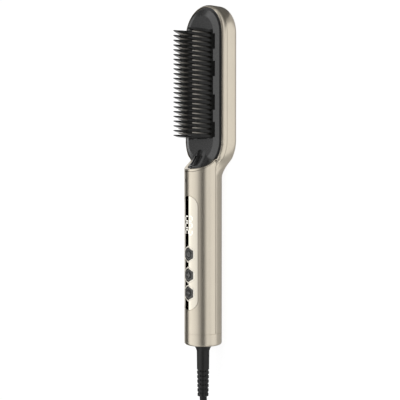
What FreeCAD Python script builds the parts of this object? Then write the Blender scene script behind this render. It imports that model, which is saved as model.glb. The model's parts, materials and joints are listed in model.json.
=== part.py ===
import FreeCAD, Part
import math
import os
from FreeCAD import Vector

# A heated straightening comb that lies on its back with the comb up.
# X is the width, Y runs from the cord to the head and Z is up. Sizes are in millimetres.
# Places along the stick are stations, measured from the bottom of the handle.

# Body
HANDLE_RADIUS = 16.2
BODY_LENGTH = 292.0
HEAD_SHARE = 0.48664
HEAD_HALF_WIDTH = 25.9
NECK_FILLET = 10.0
NECK_BLEND = 7.3
NECK_BLEND_PAST = 1.9
NECK_EASE = 7.0
NECK_STEPS = 12
BACK_CORNER = 2.5
RIM_DROP = 0.3
RIM_HEIGHT = 4.3
RIM_INSET = 1.8
SHELL_WALL = 2.0
COVER_WALL = 3.0
PARTING_RUN = 10.0
LEAST_EDGE = 0.1

# Sloping lip and ramp at the neck: reaches past the head's start, and heights
RAMP_FOOT_REACH = 9.7
RAMP_MIDDLE_REACH = 4.2
RAMP_TOP_REACH = 1.3
RAMP_MIDDLE_SHARE = 0.4444
RAMP_TOP_DROP = 0.8
LIP_DEPTH = 1.9
LIP_SIDE_DEPTH = 0.6
LIP_GROOVE = 0.9

# Round cowl that slopes from the lip into the face
COWL_RADIUS = 15.2
COWL_TOP_REACH = 1.6
COWL_MIDDLE_REACH = 8.9
COWL_FOOT_REACH = 18.1
COWL_TOP_SHARE = 0.926
COWL_MIDDLE_SHARE = 0.494

# Clearances
SEAM_GAP = 0.3
FIT_GAP = 0.2
SLIDE_GAP = 0.2
TURN_GAP = 0.1
FLANGE_GAP = 0.1
REST_GAP = 0.3
SCREW_GAP = 0.1

# Face plate
PLATE_WALL = 1.8
GROOVE_WIDTH = 2.2
BEVEL_WIDTH = 5.35
PLATE_EDGE_RISE = 0.5
PLATE_FLAT_RISE = 2.9
GROOVE_DEPTH = 1.3
FLANGE_THICK = 1.4
LEDGE_THICK = 1.6
LEDGE_WIDTH = 2.9
LEDGE_REACH = 18.1

# Comb
ROW_PITCH = 4.03
COMB_SHIFT = 2.0
GUARD_MARGIN = 0.75
TOOTH_SPAN_SHARE = 0.6026
GUARD_RAIL = 2.2
GUARD_RISE = 0.5
GUARD_TIP_RISE = 24.8
GUARD_VALLEY_RISE = 10.3
GUARD_FIN_BASE = 2.1
GUARD_FIN_TIP = 0.7
METAL_MARGIN = 2.8
METAL_TIP_RISE = 19.5
METAL_VALLEY_RISE = 6.8
METAL_FIN_BASE = 1.5
METAL_FIN_TIP = 0.7
FIN_TAPER = 7.0
FIN_DRAFT = 0.95
FIN_LEAN = 1.5
FIN_TOP_ROUND = 0.75
END_RAIL = 4.2
ROW_END = 1.4
GUARD_FOOT = 1.1
TAB_LENGTH = 12.5
TAB_REACH = 2.3
TAB_SHIFT = -1.2
TAB_SHARES = (-0.7655, -0.2917, 0.2917, 0.7655)

# Heater stack
BASE_TOP_RISE = -0.2
BASE_THICK = 3.4
BASE_OVERHANG = 1.0
HEATER_END_ROOM = 13.86
HEATER_SHARE = 0.39
HEATER_THICK = 1.3
SHEET_THICK = 0.6
CLAMP_THICK = 0.8
CLAMP_END = 6.0
CLAMP_ROOM = 3.0
CLAMP_FOOT = 2.1
EAR_MARGIN = 3.8
EAR_HALF_WIDTH = 3.5
EAR_LENGTH = 8.0
EAR_THICK = 1.6
SENSOR_ASIDE = 4.5
THERMISTOR_SIZE = (4.0, 8.0, 2.4)
FUSE_SIZE = (4.4, 13.0, 3.0)

# Screws
SCREW_RADIUS = 1.3
SCREW_HEAD_RADIUS = 2.4
SCREW_HEAD = 1.6
BOSS_RADIUS = 3.0
POST_RADIUS = 3.2
LUG_INSET = 2.6
LUG_SHARES = (-0.6754, 0.0, 0.6754)
CLOSING_INSET = 2.46
HANDLE_SCREW_INSETS = (3.5, 4.4)
FACE_SCREW = 3.6
EAR_SCREW = 3.6
CLAMP_SCREW = 4.8
BOARD_SCREW = 7.0
HEAD_SCREW = 9.4
HANDLE_SCREW = 20.0

# Control panel and buttons
PANEL_START_SHARE = 0.2061
PANEL_END_SHARE = 0.8559
PANEL_HALF_WIDTH = 9.06
PANEL_THICK = 1.6
PANEL_FLOOR_DEPTH = 2.9
WINDOW_MARGIN = 1.86
WINDOW_INSETS = (7.1, 8.7)
MINUS_REACH = 7.4
PLUS_PITCH = 15.4
POWER_PITCH = 17.8
BUTTON_RADIUS = 5.8
BUTTON_FLANGE = 1.1
BUTTON_FLANGE_THICK = 1.2
BUTTON_EDGE = 0.5
BUTTON_TRAVEL = 0.6
STEM_RADIUS = 2.0
LENS_REACH = 8.4
LENS_X = -4.4
LENS_HALF = (1.2, 1.7)

# Control board
BOARD_DEPTH = 7.0
BOARD_THICK = 1.6
BOARD_SIDE_ROOM = 1.3
BOARD_INSETS = (2.5, 2.6)
BOARD_CORNER = 2.0
BOARD_POST_INSET = 2.3
BOARD_POST_END = 5.0
SWITCH_SIZE = 6.0
SWITCH_HEIGHT = 3.4
PLUNGER_RADIUS = 1.7
PLUNGER_DEPTH = 1.1
PLUNGER_RISE = 1.0
DISPLAY_WIDTH = 8.0
DISPLAY_HEIGHT = 6.2
DISPLAY_SHARE = 0.5
DISPLAY_PLACE = 0.543
CAPACITOR_PLACE = 0.3725
CAPACITOR_SHARE = 0.235
CAPACITOR_HEIGHT = 10.0
CAN_PLACE = 0.66
CAN_SHARE = 0.183
CAN_RADIUS = 4.6
DRIVER_PLACE = 0.846
DRIVER_SHARE = 0.059
DRIVER_HEIGHT = 12.0
CHIP_SIZE = (6.4, 6.0, 1.4)

# End cap and swivelling cord sleeve
CAP_LENGTH = 10.4
CAP_ROUND = 2.0
CAP_FLOOR = 2.4
CAP_SPIGOT = 4.0
CAP_STEP = 5.0
SPIGOT_WALL = 1.5
SEAT_STEP = 0.8
NECK_RADIUS = 5.1
COLLAR_RADIUS = 7.4
COLLAR_THICK = 1.8
SLEEVE_LENGTH = 45.0
FLARE_RADIUS = 8.9
FLARE_LENGTH = 5.8
SLEEVE_TOP_RADIUS = 5.5
SLEEVE_MID_RADIUS = 5.3
SLEEVE_END_RADIUS = 4.75
RIB_START = 22.0
RIB_COUNT = 6
RIB_PITCH = 3.84
RIB_SLOT = 1.7
RIB_CORE = 4.15
RIB_BRIDGE = 2.4
RETAINER_THICK = 1.4
INNER_SPIGOT = 4.0
RING_RADIUS = 4.8
RING_WIDTH = 1.2
RING_STEP = 2.4
CONTACT_LENGTH = 6.2
CONTACT_BORE_SHARE = 0.394
BRUSH_HALF_HEIGHT = 1.5

# Ion unit
ION_HALF_WIDTH = 5.2
ION_REACHES = (4.9, 12.7)
SLAT_COUNT = 3
SLAT_WIDTH = 1.3
ION_BLOCK_SHARE = 0.8642
ION_BLOCK_LENGTH = 16.0
ION_BLOCK_DROP = 3.05
ION_BLOCK_REACH = 18.6
ION_BLOCK_EDGE = 1.0
EMITTER_RADIUS = 3.4
EMITTER_LENGTH = 4.0
NEEDLE_RADII = (0.5, 0.15)
NEEDLE_LENGTH = 1.1
GRILLE_END = 1.0

# Cord
CORD_DIAMETER = 6.2
SOCKET_DEPTH = 6.0
SOCKET_GAP = 0.3
LEAD_DIAMETER = 1.6
LEAD_RUN = 9.0
LEAD_STEP = 2.0

# Hank that the rest of the cord is folded into
HANK_FOLD = 18.6
HANK_STEP = 7.5
HANK_LAYER = 6.7
HANK_HALF_RUN = 30.0
HANK_WAIST = 5.0
HANK_LAYERS = (12, 10, 10, 10)
HANK_CLIMB = 2
HANK_TAIL_FOLD = 19.0
HANK_TAIL_RISES = (6.9, 9.7)
HANK_TAIL_SLOPES = (0.15, 0.07)
TIE_WIDTH = 10.0
TIE_THICK = 1.2
TIE_SHIFT = 4.0

# Plug
PLUG_LENGTH = 34.0
PLUG_HALF_WIDTH = 12.0
PLUG_HALF_HEIGHT = 8.0
PLUG_NECK_LENGTH = 12.0
PLUG_NECK_RADIUS = 5.0
PLUG_CORNER = 4.0
PLUG_REAR = 10.5
BLADE_SIZE = (1.5, 17.0, 6.35)
BLADE_SPACING = 12.7

# Stations that follow from the sizes above
HEAD_START = BODY_LENGTH * (1 - HEAD_SHARE)
LOW_CENTRE = HEAD_START + HEAD_HALF_WIDTH
TOP_CENTRE = BODY_LENGTH - HEAD_HALF_WIDTH
NECK_REACH = math.sqrt((HEAD_HALF_WIDTH + NECK_FILLET) ** 2 - (HANDLE_RADIUS + NECK_FILLET) ** 2)
NECK_START = LOW_CENTRE - NECK_REACH
NECK_JOIN = LOW_CENTRE - NECK_REACH * HEAD_HALF_WIDTH / (HEAD_HALF_WIDTH + NECK_FILLET)
BLEND_START = NECK_START - NECK_BLEND
BLEND_END = NECK_JOIN + NECK_BLEND_PAST
LEDGE_START = HEAD_START + LEDGE_REACH
ROW_COUNT = int((TOP_CENTRE - LOW_CENTRE) / ROW_PITCH) + 1
COMB_CENTRE = (LOW_CENTRE + TOP_CENTRE) / 2 + COMB_SHIFT
COMB_HALF_LENGTH = (ROW_COUNT - 1) / 2 * ROW_PITCH + END_RAIL
ROWS_HALF_LENGTH = (ROW_COUNT - 1) / 2 * ROW_PITCH + ROW_END
WINDOW_HALF_LENGTH = ROWS_HALF_LENGTH + FIT_GAP
HEATER_LENGTH = 2 * (COMB_HALF_LENGTH - HEATER_END_ROOM)
CLAMP_HALF_LENGTH = HEATER_LENGTH / 2 + CLAMP_END + CLAMP_ROOM
CLOSING_OFFSET = COMB_HALF_LENGTH - CLOSING_INSET
PANEL_START = HEAD_START * PANEL_START_SHARE
PANEL_END = HEAD_START * PANEL_END_SHARE
HANDLE_SCREWS = (PANEL_START + HANDLE_SCREW_INSETS[0], PANEL_END - HANDLE_SCREW_INSETS[1])
WINDOW_START = PANEL_START + WINDOW_INSETS[0]
WINDOW_END = PANEL_END - WINDOW_INSETS[1]
MINUS_STATION = WINDOW_START + MINUS_REACH
PLUS_STATION = MINUS_STATION + PLUS_PITCH
POWER_STATION = PLUS_STATION + POWER_PITCH
BUTTON_STATIONS = {"power": POWER_STATION, "plus": PLUS_STATION, "minus": MINUS_STATION}
LENS_STATION = HEAD_START - LENS_REACH
BOARD_START = WINDOW_START + BOARD_INSETS[0]
BOARD_END = WINDOW_END - BOARD_INSETS[1]
BOARD_POSTS = ((MINUS_STATION + PLUS_STATION) / 2, BOARD_END - BOARD_POST_END)
DISPLAY_ROOM = WINDOW_END - POWER_STATION - BUTTON_RADIUS - BUTTON_FLANGE
DISPLAY_LENGTH = DISPLAY_ROOM * DISPLAY_SHARE
DISPLAY_STATION = WINDOW_END - DISPLAY_ROOM * (1 - DISPLAY_PLACE)
CHIP_STATION = (POWER_STATION + SWITCH_SIZE / 2 + DISPLAY_STATION - DISPLAY_LENGTH / 2) / 2
ION_START = HEAD_START + ION_REACHES[0]
ION_END = HEAD_START + ION_REACHES[1]
ION_BLOCK_START = HEAD_START - ION_BLOCK_REACH
SLEEVE_END = -SLEEVE_LENGTH
ORIGIN_SHIFT = (SLEEVE_LENGTH - BODY_LENGTH) / 2

# Heights that follow
AXIS_Z = HANDLE_RADIUS
RIM_Z = AXIS_Z - RIM_DROP
HEAD_PARTING_Z = RIM_Z - RIM_HEIGHT
PLATE_FLAT_Z = AXIS_Z + PLATE_FLAT_RISE
PLATE_EDGE_Z = AXIS_Z + PLATE_EDGE_RISE
FLANGE_TOP_Z = RIM_Z - GROOVE_DEPTH
LEDGE_TOP_Z = FLANGE_TOP_Z - FLANGE_THICK
LEDGE_Z = LEDGE_TOP_Z - LEDGE_THICK
BASE_TOP_Z = AXIS_Z + BASE_TOP_RISE
BASE_Z = BASE_TOP_Z - BASE_THICK
BUTTON_TOP_Z = AXIS_Z + HANDLE_RADIUS
PANEL_FLOOR_Z = BUTTON_TOP_Z - PANEL_FLOOR_DEPTH
BOARD_TOP_Z = PANEL_FLOOR_Z - BOARD_DEPTH
BOARD_Z = BOARD_TOP_Z - BOARD_THICK
BUTTON_FLANGE_Z = PANEL_FLOOR_Z - FLANGE_GAP - BUTTON_FLANGE_THICK
SWITCH_TOP_Z = BOARD_TOP_Z + SWITCH_HEIGHT
PLUNGER_TOP_Z = SWITCH_TOP_Z + PLUNGER_RISE
CORD_REST_Z = CORD_DIAMETER / 2 + REST_GAP + TIE_THICK + LEAST_EDGE

# Widths and radii that follow
COVER_RADIUS = HANDLE_RADIUS - COVER_WALL
RIM_INNER = HEAD_HALF_WIDTH - SHELL_WALL
LEDGE_INNER = RIM_INNER - LEDGE_WIDTH
LUG_HALF_SPAN = LEDGE_INNER - LUG_INSET
PLATE_HALF_WIDTH = RIM_INNER - GROOVE_WIDTH
PLATE_FLAT_HALF = PLATE_HALF_WIDTH - BEVEL_WIDTH
GUARD_HALF_WIDTH = PLATE_FLAT_HALF - GUARD_MARGIN
TOOTH_HALF_SPAN = GUARD_HALF_WIDTH * TOOTH_SPAN_SHARE
METAL_HALF_WIDTH = GUARD_HALF_WIDTH - METAL_MARGIN
EAR_HALF_SPAN = METAL_HALF_WIDTH - EAR_MARGIN
HEATER_HALF_WIDTH = METAL_HALF_WIDTH * HEATER_SHARE
SENSOR_OFFSET = HEATER_HALF_WIDTH + SENSOR_ASIDE
WINDOW_HALF_WIDTH = PANEL_HALF_WIDTH - WINDOW_MARGIN
BOARD_HALF_WIDTH = math.sqrt(COVER_RADIUS**2 - (BOARD_TOP_Z - AXIS_Z) ** 2) - BOARD_SIDE_ROOM
BOARD_POST_X = BOARD_HALF_WIDTH - BOARD_POST_INSET
COMPONENT_WIDTH = 2 * (BOARD_POST_X - BOSS_RADIUS - REST_GAP)
SPIGOT_RADIUS = COVER_RADIUS - REST_GAP
SPIGOT_BORE = SPIGOT_RADIUS - SPIGOT_WALL
SEAT_BORE = SPIGOT_BORE - SEAT_STEP
CONTACT_BORE = RING_RADIUS + (SPIGOT_BORE - RING_RADIUS) * CONTACT_BORE_SHARE
BRUSH_ROOT = (SPIGOT_BORE - CONTACT_BORE) / 2
ION_BLOCK_WIDTH = HANDLE_RADIUS * ION_BLOCK_SHARE
SLAT_GAP = (2 * ION_HALF_WIDTH - SLAT_COUNT * SLAT_WIDTH) / (SLAT_COUNT + 1)
GRILLE_DEPTH = PLATE_WALL * 1.6
RAMP_FOOT = (HEAD_START + RAMP_FOOT_REACH, RIM_Z)
RAMP_MIDDLE = (HEAD_START + RAMP_MIDDLE_REACH, AXIS_Z + HANDLE_RADIUS * RAMP_MIDDLE_SHARE)
RAMP_TOP = (HEAD_START + RAMP_TOP_REACH, AXIS_Z + HANDLE_RADIUS - RAMP_TOP_DROP)
COWL_TOP = (HEAD_START + COWL_TOP_REACH, AXIS_Z + HANDLE_RADIUS * COWL_TOP_SHARE)
COWL_MIDDLE = (HEAD_START + COWL_MIDDLE_REACH, AXIS_Z + HANDLE_RADIUS * COWL_MIDDLE_SHARE)
COWL_FOOT = (HEAD_START + COWL_FOOT_REACH, PLATE_FLAT_Z)
FAR = 400.0

# Route of the cord from its socket to the hank, chosen by hand
# Each point: aside, behind the sleeve, share of the axis height
CORD_ROUTE = [
    (0.0, -SOCKET_DEPTH, 1.0),
    (0.0, 11.0, 1.0),
    (5.0, 30.0, 0.59),
    (15.5, 47.0, 0.13),
    (23.25, 65.0, 0.0),
    (23.25, 82.0, 0.0),
]
CORD_POINTS = [
    (aside, SLEEVE_END - behind, CORD_REST_Z + share * (AXIS_Z - CORD_REST_Z))
    for aside, behind, share in CORD_ROUTE
]


def along_x(t, x=0.0):
    """Places (x, z) of a cross-section at a station."""
    return lambda a, b: Vector(x + a, t, b)


def in_side_view(x):
    """Places (station, z) of a profile seen from the side."""
    return lambda a, b: Vector(x, a, b)


def in_plan(z):
    """Places (x, station) of an outline seen from above."""
    return lambda a, b: Vector(a, b, z)


def closed_face(start, steps, put):
    """A flat face: each step is a line's end, or an arc's middle and end."""
    edges = []
    here = start
    for step in list(steps) + [start]:
        end = step[-2:]
        if len(step) == 4:
            edges.append(Part.Arc(put(*here), put(*step[:2]), put(*end)).toShape())
        elif math.dist(here, end) > 1e-7:
            edges.append(Part.LineSegment(put(*here), put(*end)).toShape())
        here = end
    return Part.Face(Part.Wire(edges))


def across(start, steps, half_width):
    """A side profile made as wide as twice the half width."""
    face = closed_face(start, steps, in_side_view(-half_width))
    return face.extrude(Vector(2 * half_width, 0, 0))


def block(x0, x1, t0, t1, z0, z1):
    return Part.makeBox(x1 - x0, t1 - t0, z1 - z0, Vector(x0, t0, z0))


def post(x, t, z0, z1, radius):
    return Part.makeCylinder(radius, z1 - z0, Vector(x, t, z0))


def bar(radius, t0, t1, x=0.0, z=AXIS_Z):
    """A round bar along the stick."""
    return Part.makeCylinder(radius, t1 - t0, Vector(x, t0, z), Vector(0, 1, 0))


def turned(start, steps):
    """A body turned about the handle's axis, from a profile of stations and radii."""
    face = closed_face(start, steps, lambda t, r: Vector(r, t, AXIS_Z))
    return face.revolve(Vector(0, 0, AXIS_Z), Vector(0, 1, 0), 360)


def long_round(start, steps, t0, t1):
    """A half profile (x, z) run straight between two stations and turned about Z at both ends."""
    low = closed_face(start, steps, along_x(t0))
    high = closed_face(start, steps, along_x(t1))
    right = low.extrude(Vector(0, t1 - t0, 0))
    left = right.mirror(Vector(0, 0, 0), Vector(1, 0, 0))
    top = high.revolve(Vector(0, t1, 0), Vector(0, 0, 1), 180)
    bottom = low.revolve(Vector(0, t0, 0), Vector(0, 0, 1), -180)
    return right.fuse([left, top, bottom]).removeSplitter()


def slot_prism(half_width, t0, t1, z0, z1):
    """An upright prism with a stadium outline that ends at two stations."""
    low = t0 + half_width
    high = t1 - half_width
    steps = [
        (half_width, high),
        (0.0, t1, -half_width, high),
        (-half_width, low),
        (0.0, t0, half_width, low),
    ]
    face = closed_face((half_width, low), steps, in_plan(z0))
    return face.extrude(Vector(0, 0, z1 - z0))


def hex_prism(t, radius, z0, z1):
    """A hexagonal prism with two corners along the stick."""
    corners = [
        (radius * math.sin(math.radians(60 * k)), t + radius * math.cos(math.radians(60 * k)))
        for k in range(6)
    ]
    face = closed_face(corners[0], corners[1:], in_plan(z0))
    return face.extrude(Vector(0, 0, z1 - z0))


def screw(x, t, seat_z, length, up=True):
    """A plain screw whose head lies against a seat."""
    sign = 1 if up else -1
    head = Part.makeCylinder(SCREW_HEAD_RADIUS, SCREW_HEAD, Vector(x, t, seat_z), Vector(0, 0, -sign))
    shank = Part.makeCylinder(SCREW_RADIUS, length, Vector(x, t, seat_z), Vector(0, 0, sign))
    return head.fuse(shank).removeSplitter()


def smooth(value):
    value = min(max(value, 0.0), 1.0)
    return value * value * (3 - 2 * value)


def mix(a, b, share):
    return a + (b - a) * share


# Outer form


def half_width(t):
    """Half the body's width at a station: handle, neck fillet, then the head's round end."""
    if t <= NECK_START:
        return HANDLE_RADIUS
    if t < NECK_JOIN:
        return HANDLE_RADIUS + NECK_FILLET - math.sqrt(NECK_FILLET**2 - (t - NECK_START) ** 2)
    if t < LOW_CENTRE:
        return math.sqrt(HEAD_HALF_WIDTH**2 - (LOW_CENTRE - t) ** 2)
    return HEAD_HALF_WIDTH


def back_profile(t, inset):
    """Right half of the back's section at a station: start, then steps up to the open top."""
    share = smooth((t - BLEND_START) / (BLEND_END - BLEND_START))
    width = half_width(t) - inset
    corner = max(mix(HANDLE_RADIUS - LEAST_EDGE, BACK_CORNER, share) - inset, 5 * LEAST_EDGE)
    bend = corner * (1 - math.sqrt(0.5))
    return share, width, corner, bend


def outer_section(t):
    share, width, corner, bend = back_profile(t, 0.0)
    ease = 1 - smooth((t - NECK_JOIN) / NECK_EASE)
    inset = max(mix(LEAST_EDGE, RIM_INSET, share), (width - HANDLE_RADIUS) * ease + LEAST_EDGE)
    side = mix(AXIS_Z - LEAST_EDGE / 2, HEAD_PARTING_Z, share)
    top = mix(AXIS_Z, RIM_Z, share)
    rise = top - side
    arc = (inset**2 + rise**2) / (2 * inset)
    turn = 2 * math.atan2(inset, rise)
    mid = (width - arc * (1 - math.cos(turn / 2)), side + arc * math.sin(turn / 2))
    right = [
        (width - corner, 0.0),
        (width - bend, bend, width, corner),
        (width, side),
        (mid[0], mid[1], width - inset, top),
    ]
    return right


def inner_section(t):
    _, width, corner, bend = back_profile(t, SHELL_WALL)
    right = [
        (width - corner, SHELL_WALL),
        (width - bend, SHELL_WALL + bend, width, SHELL_WALL + corner),
        (width, AXIS_Z + LEAST_EDGE),
    ]
    return right


def section_wire(right, t):
    """The whole section from its right half, mirrored to the left."""
    steps = list(right)
    ends = [step[-2:] for step in right]
    left = []
    for k in range(len(right) - 1, 0, -1):
        end = (-ends[k - 1][0], ends[k - 1][1])
        step = right[k]
        left.append((-step[0], step[1], *end) if len(step) == 4 else end)
    start = steps[0]
    steps = steps[1:] + [(-ends[-1][0], ends[-1][1])] + left
    return closed_face(start, steps, along_x(t)).OuterWire


def neck_stations():
    step = (LOW_CENTRE - BLEND_START) / NECK_STEPS
    return [BLEND_START + step * k for k in range(NECK_STEPS + 1)]


def back_body(section):
    """The back of the handle's end, the neck and the head from one section rule."""
    neck = Part.makeLoft([section_wire(section(t), t) for t in neck_stations()], True, False)
    head = section(LOW_CENTRE)
    floor = head[0][1]
    steps = head + [(0.0, head[-1][-1])]
    low = closed_face((0.0, floor), steps, along_x(LOW_CENTRE))
    high = closed_face((0.0, floor), steps, along_x(TOP_CENTRE))
    right = low.extrude(Vector(0, TOP_CENTRE - LOW_CENTRE, 0))
    left = right.mirror(Vector(0, 0, 0), Vector(1, 0, 0))
    top = high.revolve(Vector(0, TOP_CENTRE, 0), Vector(0, 0, 1), 180)
    return neck.fuse([right, left, top])


def circle_through(a, b, c):
    """Centre and radius of the circle through three points."""
    d = 2 * (a[0] * (b[1] - c[1]) + b[0] * (c[1] - a[1]) + c[0] * (a[1] - b[1]))
    squares = [p[0] ** 2 + p[1] ** 2 for p in (a, b, c)]
    x = (squares[0] * (b[1] - c[1]) + squares[1] * (c[1] - a[1]) + squares[2] * (a[1] - b[1])) / d
    y = (squares[0] * (c[0] - b[0]) + squares[1] * (a[0] - c[0]) + squares[2] * (b[0] - a[0])) / d
    return (x, y), math.dist((x, y), a)


RAMP_CENTRE, RAMP_RADIUS = circle_through(RAMP_FOOT, RAMP_MIDDLE, RAMP_TOP)
COWL_CENTRE, COWL_BEND = circle_through(COWL_FOOT, COWL_MIDDLE, COWL_TOP)


def ramp_point(point, depth):
    """A point of the ramp moved behind its surface."""
    scale = (RAMP_RADIUS + depth) / RAMP_RADIUS
    return tuple(RAMP_CENTRE[k] + (point[k] - RAMP_CENTRE[k]) * scale for k in (0, 1))


def cowl_body(depth):
    """The round body that bends from the handle into the face, made smaller by a depth."""
    centre = Vector(0, *COWL_CENTRE)
    return Part.makeTorus(COWL_BEND + COWL_RADIUS, COWL_RADIUS - depth, centre, Vector(1, 0, 0))


def cowl_room():
    """The space that the cowl takes: down to the groove at the lip, and over the flat beyond it."""
    half = HANDLE_RADIUS
    top = AXIS_Z + HANDLE_RADIUS
    near = block(-half, half, HEAD_START - LIP_DEPTH, RAMP_FOOT[0], FLANGE_TOP_Z, top)
    past = block(-half, half, RAMP_FOOT[0], COWL_FOOT[0] + LIP_DEPTH, PLATE_FLAT_Z - PLATE_WALL, top)
    return near.fuse(past).common(beyond_ramp(PLATE_WALL))


def cowl_strip(depth0, depth1):
    """The cowl's skin between two depths."""
    return cowl_room().common(cowl_body(depth0)).cut(cowl_body(depth1))


def beyond_ramp(depth, more_at_top=0.0):
    """Everything in front of a surface behind the ramp, and over all that lies past its foot."""
    foot = ramp_point(RAMP_FOOT, depth)
    top = ramp_point(RAMP_TOP, depth + more_at_top)
    lean = (RAMP_CENTRE[1] - top[1]) / (RAMP_CENTRE[0] - top[0])
    past = (top[0] - lean * HANDLE_RADIUS, top[1] + HANDLE_RADIUS)
    steps = [
        (*ramp_point(RAMP_MIDDLE, depth), *top),
        past,
        (FAR, past[1]),
        (FAR, -FAR),
        (foot[0], -FAR),
    ]
    return across(foot, steps, FAR)


def below_parting(gap=0.0):
    """Everything below the seam between the back and the front pieces, or a gap below it."""
    drop = AXIS_Z - HEAD_PARTING_Z
    high = AXIS_Z - gap
    low = HEAD_PARTING_Z - gap
    start = NECK_START - LEAST_EDGE
    half = PARTING_RUN / 2
    arc = (half**2 + (drop / 2) ** 2) / drop
    turn = math.asin(half / arc)
    aside = arc * math.sin(turn / 2)
    sag = arc * (1 - math.cos(turn / 2))
    steps = [
        (start, high),
        (start + aside, high - sag, start + half, high - drop / 2),
        (start + PARTING_RUN - aside, low + sag, start + PARTING_RUN, low),
        (FAR, low),
        (FAR, -FAR),
        (-FAR, -FAR),
    ]
    return across((-FAR, high), steps, FAR)


def above(z):
    return block(-FAR, FAR, -FAR, FAR, z, FAR)


def outer_body():
    """The whole body, solid, with the ramp cut into the end of the handle."""
    stick = bar(HANDLE_RADIUS, CAP_LENGTH + SEAM_GAP, LOW_CENTRE)
    return stick.cut(beyond_ramp(0.0).common(above(RIM_Z))).fuse(back_body(outer_section))


def hollow_body(outer):
    """The body with the space inside the handle and behind the face cut out."""
    front = bar(COVER_RADIUS, CAP_LENGTH, LOW_CENTRE).common(above(AXIS_Z))
    rear = bar(HANDLE_RADIUS - SHELL_WALL, CAP_LENGTH, BLEND_START + LEAST_EDGE).cut(above(AXIS_Z))
    return outer.cut([front, rear, back_body(inner_section)])


def face_recess():
    """The space in the front that takes the face plate."""
    deep = long_round(
        (0.0, 0.0),
        [(RIM_INNER, 0.0), (RIM_INNER, FAR), (0.0, FAR)],
        LOW_CENTRE,
        TOP_CENTRE,
    )
    return deep.common(beyond_ramp(0.0)).fuse(bar(COVER_RADIUS, CAP_LENGTH, LOW_CENTRE))


# Shells


def head_posts():
    stations = (COMB_CENTRE - CLOSING_OFFSET, COMB_CENTRE + CLOSING_OFFSET)
    return [(side * EAR_HALF_SPAN, t) for side in (-1, 1) for t in stations]


def board_posts():
    return [(side * BOARD_POST_X, t) for side in (-1, 1) for t in BOARD_POSTS]


def rear_shell(shell):
    body = shell.common(below_parting(SEAM_GAP))
    hole = SCREW_RADIUS + SCREW_GAP
    posts = [post(x, t, SHELL_WALL / 2, BASE_Z, POST_RADIUS) for x, t in head_posts()]
    posts += [post(0, t, SHELL_WALL / 2, AXIS_Z, POST_RADIUS) for t in HANDLE_SCREWS]
    stands = [post(x, t, SHELL_WALL, BOARD_Z, BOSS_RADIUS) for x, t in board_posts()]
    inside = bar(HANDLE_RADIUS - SHELL_WALL / 2, CAP_LENGTH, BLEND_START)
    stands = [stand.common(inside) for stand in stands]
    cradle = ion_block(SHELL_WALL / 2, ion_block_z())
    body = body.fuse(posts + stands + [cradle.common(inside)])
    drill = [post(x, t, SHELL_WALL, FAR, hole) for x, t in head_posts()]
    drill += [post(x, t, AXIS_Z / 2, FAR, hole) for x, t in board_posts()]
    drill += [post(0, t, SHELL_WALL, FAR, hole) for t in HANDLE_SCREWS]
    return body.cut(drill).removeSplitter()


def lug_spots():
    stations = [COMB_CENTRE + share * COMB_HALF_LENGTH for share in LUG_SHARES]
    return [(side * LUG_HALF_SPAN, t) for side in (-1, 1) for t in stations]


def head_frame(outer):
    rim = outer.cut(face_recess()).cut(below_parting())
    rim = rim.common(beyond_ramp(LIP_SIDE_DEPTH, LIP_DEPTH - LIP_SIDE_DEPTH))
    root = RIM_INNER + SHELL_WALL / 4
    ledge = long_round(
        (LEDGE_INNER, LEDGE_Z),
        [(root, LEDGE_Z), (root, LEDGE_TOP_Z), (LEDGE_INNER, LEDGE_TOP_Z)],
        LOW_CENTRE,
        TOP_CENTRE,
    )
    ledge = ledge.common(block(-FAR, FAR, LEDGE_START, FAR, 0, FAR)).cut(below_parting())
    lugs = []
    for x, t in lug_spots():
        outer = math.copysign(LEDGE_INNER + LEAST_EDGE, x)
        lugs.append(post(x, t, LEDGE_Z, LEDGE_TOP_Z, BOSS_RADIUS))
        x0, x1 = sorted((x, outer))
        lugs.append(block(x0, x1, t - BOSS_RADIUS, t + BOSS_RADIUS, LEDGE_Z, LEDGE_TOP_Z))
    lugs = [lug.cut(below_parting()) for lug in lugs]
    holes = [post(x, t, 0, FAR, SCREW_RADIUS + SCREW_GAP) for x, t in lug_spots()]
    return rim.fuse([ledge] + lugs).cut(holes).removeSplitter()


def handle_cover(shell):
    cover = shell.cut(below_parting())
    cover = cover.cut(beyond_ramp(LIP_SIDE_DEPTH + SEAM_GAP, LIP_DEPTH - LIP_SIDE_DEPTH))
    boss_top = AXIS_Z + COVER_RADIUS + COVER_WALL / 2
    bosses = [post(0, t, AXIS_Z, boss_top, BOSS_RADIUS) for t in HANDLE_SCREWS]
    cover = cover.fuse(bosses)
    seat_half = PANEL_HALF_WIDTH + SEAM_GAP
    seat = slot_prism(seat_half, PANEL_START - SEAM_GAP, PANEL_END + SEAM_GAP, AXIS_Z, FAR)
    seat = seat.cut(bar(HANDLE_RADIUS - PANEL_THICK, -FAR, FAR))
    window = slot_prism(WINDOW_HALF_WIDTH, WINDOW_START, WINDOW_END, AXIS_Z, FAR)
    cuts = [seat, window, lens_hole()]
    cuts += [post(0, t, 0, FAR, SCREW_RADIUS + SCREW_GAP) for t in HANDLE_SCREWS]
    cuts += [post(0, t, handle_screw_seat(), FAR, SCREW_HEAD_RADIUS + SCREW_GAP) for t in HANDLE_SCREWS]
    for tool in cuts:
        cover = cover.cut(tool)
    return cover.removeSplitter()


def handle_screw_seat():
    return AXIS_Z + HANDLE_RADIUS - PANEL_THICK - SCREW_HEAD - REST_GAP


def lens_hole():
    half_x, half_t = LENS_HALF
    return slot_prism(half_x, LENS_STATION - half_t, LENS_STATION + half_t, AXIS_Z, FAR).translated(
        Vector(LENS_X, 0, 0)
    )


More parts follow.
